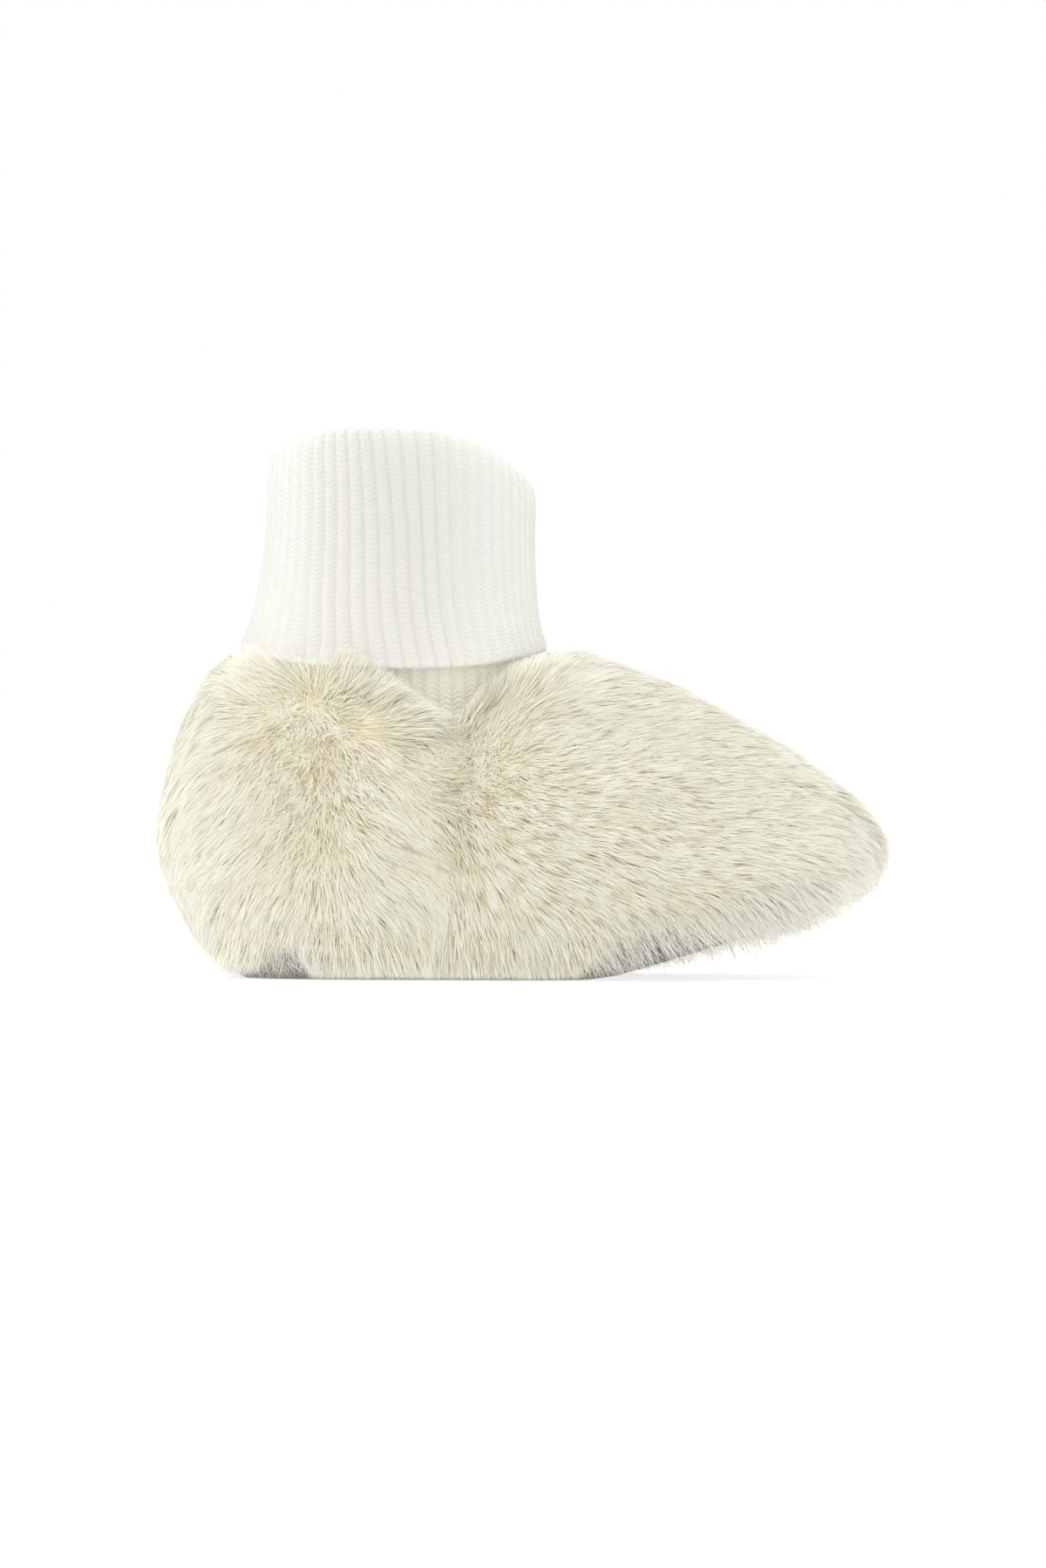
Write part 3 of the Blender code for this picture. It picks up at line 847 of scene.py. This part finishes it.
def backing_material(settings):
    """Knitted backing under the pile, only seen between tufts: the warm depth of the fur."""
    material = new_material("knitted_fur_backing")
    place = add_node(material, "ShaderNodeTexCoord")
    grain = add_node(material, "ShaderNodeTexNoise", {
        "Vector": place.outputs["Object"], "Scale": 1.0 / BACKING_GRAIN, "Detail": 4.0})
    colour = add_node(material, "ShaderNodeMix", {
        "Factor": grain.outputs["Fac"], "A": linear(settings.backing_shade),
        "B": linear(settings.backing_colour)}, data_type="RGBA")
    shader = add_node(material, "ShaderNodeBsdfPrincipled", {
        "Base Color": colour.outputs["Result"], "Roughness": 0.95, "Specular IOR Level": 0.1})
    add_node(material, "ShaderNodeOutputMaterial", {"Surface": shader.outputs[0]})
    return material


def fleece_material(settings):
    """Short brushed lining fleece: cream, matt and slightly pilled."""
    material = new_material("cream_lining_fleece")
    place = add_node(material, "ShaderNodeTexCoord")
    pile = add_node(material, "ShaderNodeTexNoise", {
        "Vector": place.outputs["Object"], "Scale": 1.0 / FLEECE_PILLS, "Detail": 5.0})
    colour = add_node(material, "ShaderNodeMix", {
        "Factor": pile.outputs["Fac"], "A": linear(settings.lining_colour, 0.86),
        "B": linear(settings.lining_colour)}, data_type="RGBA")
    bump = add_node(material, "ShaderNodeBump", {
        "Height": pile.outputs["Fac"], "Strength": 0.7, "Distance": 0.4 * MM})
    shader = add_node(material, "ShaderNodeBsdfPrincipled", {
        "Base Color": colour.outputs["Result"], "Roughness": 0.95, "Specular IOR Level": 0.1,
        "Sheen Weight": 0.3, "Sheen Roughness": 0.5, "Normal": bump.outputs["Normal"]})
    add_node(material, "ShaderNodeOutputMaterial", {"Surface": shader.outputs[0]})
    return material


SHELL_HEM_OVER_SOLE = 0.8 * MM
HEM_DRAWN_IN = 2.2 * MM  # the wall's foot is gathered in under the fringe
HEM_GATHER_TOP = 6 * MM  # from this height over the sole down
HEM_TILT = -0.5  # points whose normal points down more than this are gathered in too
BACK_RIM_DROP = 1.6 * MM  # the wall's rim lies this far below the solid's at the back, under the pile
BACK_RIM_X = mm(-44, -52)
BACK_RIM_Z = mm(46, 54)
WALL_SINK = 0.45  # the wall lies this share of the pile's depth under its surface, and less near the rim
RIM_SINK_LESS = 0.3
SUEDE_BAND_OVER_SOLE = 6.5 * MM  # the shell is drawn in the sole's suede this far up under the pile: the sole's edge low down, and painted shade in the fringe's gaps above it
SUEDE_EDGE_OVER_SOLE = 3.5 * MM  # and it wraps the hem's edge this far


def shell_points(points, surface, shown):
    """The CAD wall's points with the hem, the seam's trough and the back's rim drawn in."""
    hem = sole_rise(points[:, 0]) + SHELL_HEM_OVER_SOLE + heel_tuck(points[:, 0])
    points[:, 2] = np.maximum(points[:, 2], hem)
    points[shown] -= surface.normals[shown] * seam_trough(points[shown])[:, None]
    points[:, 2] -= BACK_RIM_DROP * ramp(*BACK_RIM_X, points[:, 0]) * ramp(*BACK_RIM_Z, points[:, 2])
    outer = np.union1d(shown, np.nonzero(surface.normals[:, 2] < HEM_TILT)[0])
    low = ramp(HEM_GATHER_TOP, 0.0, points[outer, 2] - sole_rise(points[outer, 0]))
    points[outer] -= HEM_DRAWN_IN * low[:, None] * unit(points[outer] * LEVEL)
    return points


def new_piece(context, name, points, faces):
    """A mesh piece, selected on its own."""
    mesh = bpy.data.meshes.new(name)
    mesh.from_pydata(points.tolist(), [], faces)
    piece = bpy.data.objects.new(name, mesh)
    context.scene.collection.objects.link(piece)
    bpy.ops.object.select_all(action="DESELECT")
    piece.select_set(True)
    context.view_layer.objects.active = piece
    return piece


class SLIPPER_OT_shell(Operator):
    """Makes the backing and lining of the upper: the CAD wall, drawn in under the pile"""
    bl_idname = "slipper.shell"
    bl_label = "Make the Shell"

    def execute(self, context):
        fur, soles = context.scene.slipper_fur, context.scene.slipper_soles
        surface = pile_surface()
        points, triangles = merged_mesh("upper")
        shown = np.unique(surface.triangles)
        pile_faces = {tuple(corners) for corners in surface.triangles.tolist()}
        points = shell_points(points, surface, shown)
        piece = new_piece(context, "upper_shell", points, triangles.tolist())
        outside = piece.vertex_groups.new(name="outside")
        rim_share = 1.0 - RIM_SINK_LESS * near_rim(points)
        for i in shown:
            outside.add([int(i)], float(rim_share[i]), "REPLACE")
        sink = piece.modifiers.new("sink", "DISPLACE")
        sink.direction = "NORMAL"
        sink.mid_level = 0.0
        sink.strength = -WALL_SINK * fur.depth
        sink.vertex_group = "outside"
        bpy.ops.object.modifier_apply(modifier="sink")
        mesh = piece.data
        for material in (backing_material(fur), fleece_material(soles), suede_material(soles)):
            mesh.materials.append(material)
        backing, fleece, suede = range(3)
        # Faces low over the sole take the dark suede: the sole's edge, and higher up painted shade where the
        # fringe parts
        over_sole = (points[:, 2] - sole_rise(points[:, 0]))[triangles].mean(1)
        for face, corners, height in zip(mesh.polygons, triangles.tolist(), over_sole):
            under_pile = tuple(corners) in pile_faces
            in_band = height < (SUEDE_BAND_OVER_SOLE if under_pile else SUEDE_EDGE_OVER_SOLE)
            face.material_index = suede if in_band else backing if under_pile else fleece
        mesh.shade_smooth()
        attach(piece, BODY)
        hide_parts("upper")
        return {"FINISHED"}


# Cuff

Ring = namedtuple("Ring", "front_x front_z back_x back_z side_x half_width side_z lean")

# Middle of the knit in millimetres, as in the solid: from its seam in the collar to the fold and the hem.
# lean is how far the ribs at the sides are drawn forwards there, in degrees round the cuff.
CUFF = (
    Ring(1.3, 47.5, -43.1, 49.5, -21.0, 17.1, 38.0, 0.0),
    Ring(1.3, 56.0, -43.1, 57.0, -21.0, 17.1, 52.0, 0.0),
    Ring(-0.9, 72.0, -42.6, 74.0, -21.5, 17.6, 76.0, 0.0),
    Ring(-1.2, 85.6, -42.2, 90.8, -24.5, 17.8, 93.8, 3.0),
    Ring(0.4, 88.3, -43.8, 93.8, -26.0, 19.1, 97.2, 5.0),
    Ring(1.6, 85.6, -45.0, 90.8, -24.5, 20.4, 93.8, 3.5),
    Ring(1.6, 76.0, -45.5, 78.0, -21.7, 20.7, 80.0, 0.0),
    Ring(2.1, 66.0, -47.4, 67.0, -22.0, 21.6, 66.5, 2.0),
    Ring(3.4, 59.2, -49.7, 59.4, -22.6, 23.1, 56.2, 6.5),
)
LAST_RING = len(CUFF) - 1.0
RISE_POWER = 3.0  # how sharply the rings rise or fall to the front and the back
KNIT_ACROSS = 8  # points across each rib
KNIT_ROWS = 80
RIB_ROUND = 0.4  # power that makes a rib round and its valleys narrow
STRETCHED = 0.6  # how much flatter the ribs are at the front and the back, where the knit is stretched
STRETCHED_FRONT = (0.15, 0.75)  # cosine of the angle round from the front, and from the back
STRETCHED_BACK = (0.5, 0.85)
HEM_ROUND = (60, 25, -10, -45)  # angles of the rows that round the hem's edge, in degrees
HEM_NOSE = 1.3  # how far the hem's edge stands out, against half its thickness
HEM_BULGE = 0.45  # the hem's edge is this much thicker than the knit, over the last rows
HEM_BULGE_RINGS = (LAST_RING - 0.45, LAST_RING - 0.1)
STITCH_SLANT = 1.6  # rows that a V stitch drops across a rib
YARN_FUZZ = 0.35 * MM  # real fuzz is finer, and this is coarse enough to show
INNER_FULL = 20 * MM  # the inner tube's lighter colour, painted light, is full this far along the knit from its seam
INNER_END = 34 * MM  # and it ends here, near the fold
INNER_GLOW = 0.17  # stands in for the light that white yarn and fur scatter on under the turn-down
YARN_CLEAR = 0.35  # share of the light that goes on through the knit


def rows_between(table, places):
    """Rings part of the way between a table's rows, on smooth curves through its rows."""
    rows = np.array(table)
    first = np.clip(places.astype(int), 0, len(rows) - 2)
    share = (places - first)[:, None]
    before, start = rows[np.maximum(first - 1, 0)], rows[first]
    end, after = rows[first + 1], rows[np.minimum(first + 2, len(rows) - 1)]
    leave, arrive = 0.5 * (end - before), 0.5 * (after - start)
    bend = 2.0 * start - 2.0 * end + leave + arrive
    turn = -3.0 * start + 3.0 * end - 2.0 * leave - arrive
    return ((bend * share + turn) * share + leave) * share + start


def cuff_sheet(places, angles):
    """Points of the knit's middle, a row for each place and a column for each angle, in metres."""
    ring = Ring(*rows_between(CUFF, places).T[:, :, None])
    angles = angles - np.radians(ring.lean) * np.sin(angles)
    along, across = np.cos(angles), np.sin(angles)
    reach = np.where(along >= 0.0, ring.front_x - ring.side_x, ring.side_x - ring.back_x)
    end_z = np.where(along >= 0.0, ring.front_z, ring.back_z)
    return MM * np.stack((
        ring.side_x + reach * along,
        ring.half_width * across,
        ring.side_z + (end_z - ring.side_z) * np.abs(along) ** RISE_POWER), axis=-1)


def knit_material(settings):
    """Cotton rib knit: soft matt yarn with a row of V stitches down each rib, painted shade in the valleys
    and between the stitches, and painted light on the inner tube under the turn-down.
    """
    material = new_material("white_cotton_rib")
    uv = add_node(material, "ShaderNodeUVMap", uv_map="UVMap")
    parts = add_node(material, "ShaderNodeSeparateXYZ", {"Vector": uv.outputs["UV"]})
    across = add_node(material, "ShaderNodeMath", {0: parts.outputs["X"]}, operation="FRACT")
    side = add_node(material, "ShaderNodeMath", {0: across.outputs[0], 1: 0.5}, operation="SUBTRACT")
    side = add_node(material, "ShaderNodeMath", {0: side.outputs[0]}, operation="ABSOLUTE")
    slant = add_node(material, "ShaderNodeMath", {
        0: side.outputs[0], 1: STITCH_SLANT, 2: parts.outputs["Y"]}, operation="MULTIPLY_ADD")
    turn = add_node(material, "ShaderNodeMath", {0: slant.outputs[0], 1: 2.0 * pi}, operation="MULTIPLY")
    stitch = add_node(material, "ShaderNodeMath", {0: turn.outputs[0]}, operation="COSINE")
    rib = add_node(material, "ShaderNodeMapRange", {
        "Value": side.outputs[0], "From Min": 0.25, "From Max": 0.5, "To Min": 1.0, "To Max": 0.0})
    height = add_node(material, "ShaderNodeMath", {
        0: stitch.outputs[0], 1: rib.outputs[0]}, operation="MULTIPLY")
    place = add_node(material, "ShaderNodeTexCoord")
    fuzz = add_node(material, "ShaderNodeTexNoise", {
        "Vector": place.outputs["Object"], "Scale": 1.0 / YARN_FUZZ, "Detail": 3.0})
    relief = add_node(material, "ShaderNodeMath", {
        0: fuzz.outputs["Fac"], 1: 0.6, 2: height.outputs[0]}, operation="MULTIPLY_ADD")
    bump = add_node(material, "ShaderNodeBump", {
        "Height": relief.outputs[0], "Strength": 0.7, "Distance": 0.2 * MM})
    # painted shade: the yarn is darker between the V stitches and in the valleys between ribs, and weaker
    # where the knit is stretched flat
    lit = add_node(material, "ShaderNodeMapRange", {
        "Value": stitch.outputs[0], "From Min": -1.0, "From Max": 1.0, "To Min": 0.65, "To Max": 1.0})
    yarn = add_node(material, "ShaderNodeMath", {
        0: lit.outputs["Result"], 1: rib.outputs[0]}, operation="MULTIPLY")
    between = add_node(material, "ShaderNodeMath", {0: 1.0, 1: yarn.outputs[0]}, operation="SUBTRACT")
    show = add_node(material, "ShaderNodeAttribute", attribute_name="rib_show")
    shade = add_node(material, "ShaderNodeMath", {
        0: between.outputs[0], 1: show.outputs["Fac"]}, operation="MULTIPLY")
    outer = add_node(material, "ShaderNodeMix", {
        "Factor": shade.outputs[0], "A": linear(settings.colour), "B": linear(settings.valley_shade_colour),
    }, data_type="RGBA")
    # painted light on the inner tube: lighter, warmer yarn with painted shade in its valleys, fading out
    # towards the fold; it also glows
    inner = add_node(material, "ShaderNodeMix", {
        "Factor": rib.outputs[0], "A": linear(settings.inner_valley_shade_colour),
        "B": linear(settings.inner_lit_colour)}, data_type="RGBA")
    inside = add_node(material, "ShaderNodeMapRange", {
        "Value": parts.outputs["Y"], "From Min": INNER_FULL / settings.stitch,
        "From Max": INNER_END / settings.stitch, "To Min": 1.0, "To Max": 0.0})
    colour = add_node(material, "ShaderNodeMix", {
        "Factor": inside.outputs["Result"], "A": outer.outputs["Result"], "B": inner.outputs["Result"],
    }, data_type="RGBA")
    glow = add_node(material, "ShaderNodeMath", {
        0: inside.outputs["Result"], 1: INNER_GLOW}, operation="MULTIPLY")
    shader = add_node(material, "ShaderNodeBsdfPrincipled", {
        "Base Color": colour.outputs["Result"], "Roughness": 0.92, "Specular IOR Level": 0.2,
        "Sheen Weight": 0.25, "Sheen Roughness": 0.6, "Normal": bump.outputs["Normal"],
        "Emission Color": inner.outputs["Result"], "Emission Strength": glow.outputs[0]})
    through = add_node(material, "ShaderNodeBsdfTranslucent", {"Color": linear(settings.through_colour)})
    both = add_node(material, "ShaderNodeMixShader", {
        0: YARN_CLEAR, 1: shader.outputs[0], 2: through.outputs[0]})
    add_node(material, "ShaderNodeOutputMaterial", {"Surface": both.outputs[0]})
    return material


class SLIPPER_OT_cuff(Operator):
    """Knits the cuff: one ribbed tube, folded over and turned down"""
    bl_idname = "slipper.cuff"
    bl_label = "Knit the Cuff"

    def execute(self, context):
        settings = context.scene.slipper_knit
        columns = settings.ribs * KNIT_ACROSS
        rib_places = np.arange(columns) / KNIT_ACROSS
        places = np.linspace(0.0, LAST_RING, KNIT_ROWS)
        angles = 2.0 * pi * rib_places / settings.ribs
        middle = cuff_sheet(places, angles)
        down = np.gradient(middle, axis=0)
        around = np.roll(middle, -1, axis=1) - np.roll(middle, 1, axis=1)
        outward = unit(np.cross(down, around))
        wave = 0.5 + 0.5 * np.cos(2.0 * pi * (rib_places - 0.5))
        forwards = np.cos(angles)
        flat = np.maximum(ramp(*STRETCHED_FRONT, forwards), ramp(*STRETCHED_BACK, -forwards))
        rib_show = 1.0 - STRETCHED * flat
        relief = (settings.rib_depth * rib_show * (wave ** RIB_ROUND - 0.5))[None, :, None]
        bulge = 1.0 + HEM_BULGE * ramp(*HEM_BULGE_RINGS, places)
        half = (0.5 * settings.thickness * bulge)[:, None, None]
        outer = middle + outward * (relief + half)
        inner = middle + outward * (relief - half)
        onward = unit(down[-1])
        edge = [middle[-1] + outward[-1] * (relief[0] + half[-1] * sin(radians(turn)))
                + onward * (HEM_NOSE * half[-1] * cos(radians(turn))) for turn in HEM_ROUND]
        points = np.concatenate((outer, edge, inner[::-1]), axis=0)
        rows = len(points)
        steps = np.linalg.norm(np.diff(middle, axis=0), axis=2).mean(1)
        courses = np.concatenate(([0.0], np.cumsum(steps))) / settings.stitch
        courses = np.concatenate((courses, [courses[-1]] * len(HEM_ROUND), courses[::-1]))
        faces, uvs = [], []
        for row in range(rows):
            after = (row + 1) % rows
            for column in range(columns):
                right = (column + 1) % columns
                faces.append((row * columns + column, row * columns + right,
                              after * columns + right, after * columns + column))
                left_u, right_u = rib_places[column], rib_places[column] + 1.0 / KNIT_ACROSS
                uvs += [(left_u, courses[row]), (right_u, courses[row]),
                        (right_u, courses[after]), (left_u, courses[after])]
        piece = new_piece(context, "rib_cuff", points.reshape(-1, 3), faces)
        mesh = piece.data
        mesh.uv_layers.new(name="UVMap").data.foreach_set("uv", np.array(uvs, np.float32).ravel())
        # rib_show also weakens the painted shade in the valleys where the ribs are flattened
        show = mesh.attributes.new("rib_show", "FLOAT", "POINT")
        show.data.foreach_set("value", np.tile(rib_show, rows).astype(np.float32))
        mesh.shade_smooth()
        mesh.materials.append(knit_material(settings))
        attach(piece, BODY)
        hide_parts("cuff")
        return {"FINISHED"}


# Soles

EDGE_ROUNDS = 6  # rounds of smoothing that roll a pad's edges
EDGE_TILT = 0.4  # points whose normal is flatter than this are a pad's edge
SEAM_HALF = 0.9 * MM
CROWN_INSET = mm(2, 14)
SUEDE_MOTTLE = 6.0 * MM
SUEDE_NAP = 0.4 * MM  # real nap is finer, and this is coarse enough to show
TOP_TILT = (0.2, 0.8)  # share of the normal that points up, or down underneath


def suede_material(settings):
    """Brushed suede: a matt grey nap with a soft mottle and fine grain."""
    material = new_material("grey_suede")
    place = add_node(material, "ShaderNodeTexCoord")
    mottle = add_node(material, "ShaderNodeTexNoise", {
        "Vector": place.outputs["Object"], "Scale": 1.0 / SUEDE_MOTTLE, "Detail": 5.0})
    nap = add_node(material, "ShaderNodeTexNoise", {
        "Vector": place.outputs["Object"], "Scale": 1.0 / SUEDE_NAP, "Detail": 2.0})
    colour = add_node(material, "ShaderNodeMix", {
        "Factor": mottle.outputs["Fac"], "A": linear(settings.sole_colour, 0.72),
        "B": linear(settings.sole_colour)}, data_type="RGBA")
    bump = add_node(material, "ShaderNodeBump", {
        "Height": nap.outputs["Fac"], "Strength": 0.5, "Distance": 0.12 * MM})
    shader = add_node(material, "ShaderNodeBsdfPrincipled", {
        "Base Color": colour.outputs["Result"], "Roughness": 0.95, "Specular IOR Level": 0.15,
        "Sheen Weight": 0.3, "Sheen Roughness": 0.4, "Normal": bump.outputs["Normal"]})
    add_node(material, "ShaderNodeOutputMaterial", {"Surface": shader.outputs[0]})
    return material


def soft_copy(context, node, name, voxel):
    """A CAD pad's mesh merged, remeshed and smoothed, so that its edges roll over as soft goods do."""
    points, triangles = merged_mesh(node)
    piece = new_piece(context, name, points, triangles.tolist())
    remesh = piece.modifiers.new("even_mesh", "REMESH")
    remesh.mode = "VOXEL"
    remesh.voxel_size = voxel
    roll = piece.modifiers.new("rolled_edge", "SMOOTH")
    roll.factor = 0.5
    roll.iterations = EDGE_ROUNDS
    for modifier in ("even_mesh", "rolled_edge"):
        bpy.ops.object.modifier_apply(modifier=modifier)
    bpy.ops.object.shade_smooth()
    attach(piece, BODY)
    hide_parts(node)
    return piece


def pad_points(mesh):
    """A pad's points and normals, and how far each lies in from the pad's edge, seen from above."""
    points, normals = np.empty((2, len(mesh.vertices) * 3), np.float32)
    mesh.vertices.foreach_get("co", points)
    mesh.vertices.foreach_get("normal", normals)
    points, normals = points.reshape(-1, 3).astype(float), normals.reshape(-1, 3)
    level = points * LEVEL
    edge = level[np.abs(normals[:, 2]) < EDGE_TILT]
    tree = KDTree(len(edge))
    for i, place in enumerate(edge):
        tree.insert(Vector(place), i)
    tree.balance()
    inset = np.array([tree.find(Vector(place))[2] for place in level])
    return points, normals, inset


def sewn_channel(settings, inset):
    """Depth of the channel that the seam draws in."""
    return settings.channel_depth * np.exp(-((inset - settings.channel_inset) / SEAM_HALF) ** 2)


def raise_points(mesh, points, rise):
    """Writes a pad's points back, raised."""
    points[:, 2] += rise
    mesh.vertices.foreach_set("co", points.astype(np.float32).ravel())
    mesh.update()


class SLIPPER_OT_insole(Operator):
    """Pads the insole: crowned, with a sewn channel round it inside its edge"""
    bl_idname = "slipper.insole"
    bl_label = "Pad the Insole"

    def execute(self, context):
        settings = context.scene.slipper_soles
        piece = soft_copy(context, "insole", "padded_insole", settings.pad_voxel)
        points, normals, inset = pad_points(piece.data)
        on_top = ramp(*TOP_TILT, normals[:, 2])
        crown = settings.crown * ramp(*CROWN_INSET, inset)
        raise_points(piece.data, points, on_top * (crown - sewn_channel(settings, inset)))
        piece.data.materials.append(fleece_material(settings))
        return {"FINISHED"}


class SLIPPER_OT_outsole(Operator):
    """Makes the soft suede outsole, with a rolled edge and a shallow seam under it"""
    bl_idname = "slipper.outsole"
    bl_label = "Make the Outsole"

    def execute(self, context):
        settings = context.scene.slipper_soles
        piece = soft_copy(context, "outsole", "suede_outsole", settings.pad_voxel)
        points, normals, inset = pad_points(piece.data)
        underneath = ramp(*TOP_TILT, -normals[:, 2])
        raise_points(piece.data, points, underneath * sewn_channel(settings, inset))
        piece.data.materials.append(suede_material(settings))
        return {"FINISHED"}


# Stage

Lamp = namedtuple("Lamp", "name place size power")

LAMPS = (  # places and sizes in metres, and the setting that holds each power
    Lamp("key_light", (-0.85, -0.6, 0.85), 0.6, "key_power"),
    Lamp("fill_light", (0.15, -1.35, 0.16), 0.7, "fill_power"),
    Lamp("top_light", (0.25, 0.25, 1.2), 0.9, "top_power"),
    Lamp("left_light", (-1.2, 0.15, 0.3), 0.7, "side_power"),
    Lamp("right_light", (1.2, 0.1, 0.4), 0.7, "side_power"),
)
LIT_SPOT = Vector((0.0, 0.0, 0.04))
FLOOR_RADIUS = 6.0
FLOOR_SIDES = 96
SENSOR_WIDTH = 36.0  # millimetres


def paper_material(settings):
    """White paper floor, lit from below too, so that it fades into the white surroundings."""
    material = new_material("white_paper_floor")
    shader = add_node(material, "ShaderNodeBsdfPrincipled", {
        "Base Color": linear(settings.floor_colour), "Roughness": 0.9, "Specular IOR Level": 0.1,
        "Emission Color": linear("FFFFFF"), "Emission Strength": settings.floor_glow})
    add_node(material, "ShaderNodeOutputMaterial", {"Surface": shader.outputs[0]})
    return material


def facing(direction):
    """The turn that points a light or a camera along a direction."""
    return direction.to_track_quat("-Z", "Y").to_euler()


class SLIPPER_OT_stage(Operator):
    """Sets the white floor, the soft lights and the camera"""
    bl_idname = "slipper.stage"
    bl_label = "Set the Stage"

    def execute(self, context):
        settings = context.scene.slipper_stage
        bpy.ops.object.select_all(action="DESELECT")
        bpy.ops.mesh.primitive_circle_add(vertices=FLOOR_SIDES, radius=FLOOR_RADIUS, fill_type="NGON")
        floor = context.object
        floor.name = "floor"
        floor.data.materials.append(paper_material(settings))
        world = bpy.data.worlds.new("white_surroundings")
        context.scene.world = world
        world.use_nodes = True
        background = world.node_tree.nodes["Background"]
        background.inputs["Color"].default_value = linear("FFFFFF")
        background.inputs["Strength"].default_value = settings.sky
        for lamp in LAMPS:
            bpy.ops.object.light_add(type="AREA", location=lamp.place)
            light = context.object
            light.name = lamp.name
            light.data.size = lamp.size
            light.data.energy = getattr(settings, lamp.power)
            light.rotation_euler = facing(LIT_SPOT - Vector(lamp.place))
        aim = Vector((0.0, 0.0, settings.aim_height))
        back = Vector((0.0, -cos(settings.elevation), sin(settings.elevation)))
        bpy.ops.object.camera_add(location=aim + back * settings.distance)
        camera = context.object
        camera.rotation_euler = facing(-back)
        camera.data.sensor_width = SENSOR_WIDTH
        camera.data.lens = SENSOR_WIDTH * settings.distance / settings.view_height
        context.scene.camera = camera
        context.scene.view_settings.view_transform = "Standard"
        return {"FINISHED"}


class SLIPPER_PT_panel(Panel):
    """Lists the slipper's pieces in the order they are made"""
    bl_idname = "SLIPPER_PT_panel"
    bl_label = "Slipper"
    bl_space_type = "VIEW_3D"
    bl_region_type = "UI"
    bl_category = "Slipper"

    def draw(self, context):
        for operator in OPERATORS:
            self.layout.operator(operator.bl_idname)


SETTINGS = (
    ("slipper_fur", FurSettings), ("slipper_knit", KnitSettings),
    ("slipper_soles", SoleSettings), ("slipper_stage", StageSettings))
OPERATORS = (
    SLIPPER_OT_shell, SLIPPER_OT_fur, SLIPPER_OT_cuff,
    SLIPPER_OT_insole, SLIPPER_OT_outsole, SLIPPER_OT_stage)


def register():
    for name, group in SETTINGS:
        bpy.utils.register_class(group)
        setattr(bpy.types.Scene, name, PointerProperty(type=group))
    for item in OPERATORS + (SLIPPER_PT_panel,):
        bpy.utils.register_class(item)


def unregister():
    for item in reversed(OPERATORS + (SLIPPER_PT_panel,)):
        bpy.utils.unregister_class(item)
    for name, group in reversed(SETTINGS):
        delattr(bpy.types.Scene, name)
        bpy.utils.unregister_class(group)


def main():
    """Makes every piece and the stage."""
    register()
    bpy.ops.slipper.shell()
    bpy.ops.slipper.fur()
    bpy.ops.slipper.cuff()
    bpy.ops.slipper.insole()
    bpy.ops.slipper.outsole()
    bpy.ops.slipper.stage()


if __name__ == "__main__":
    main()
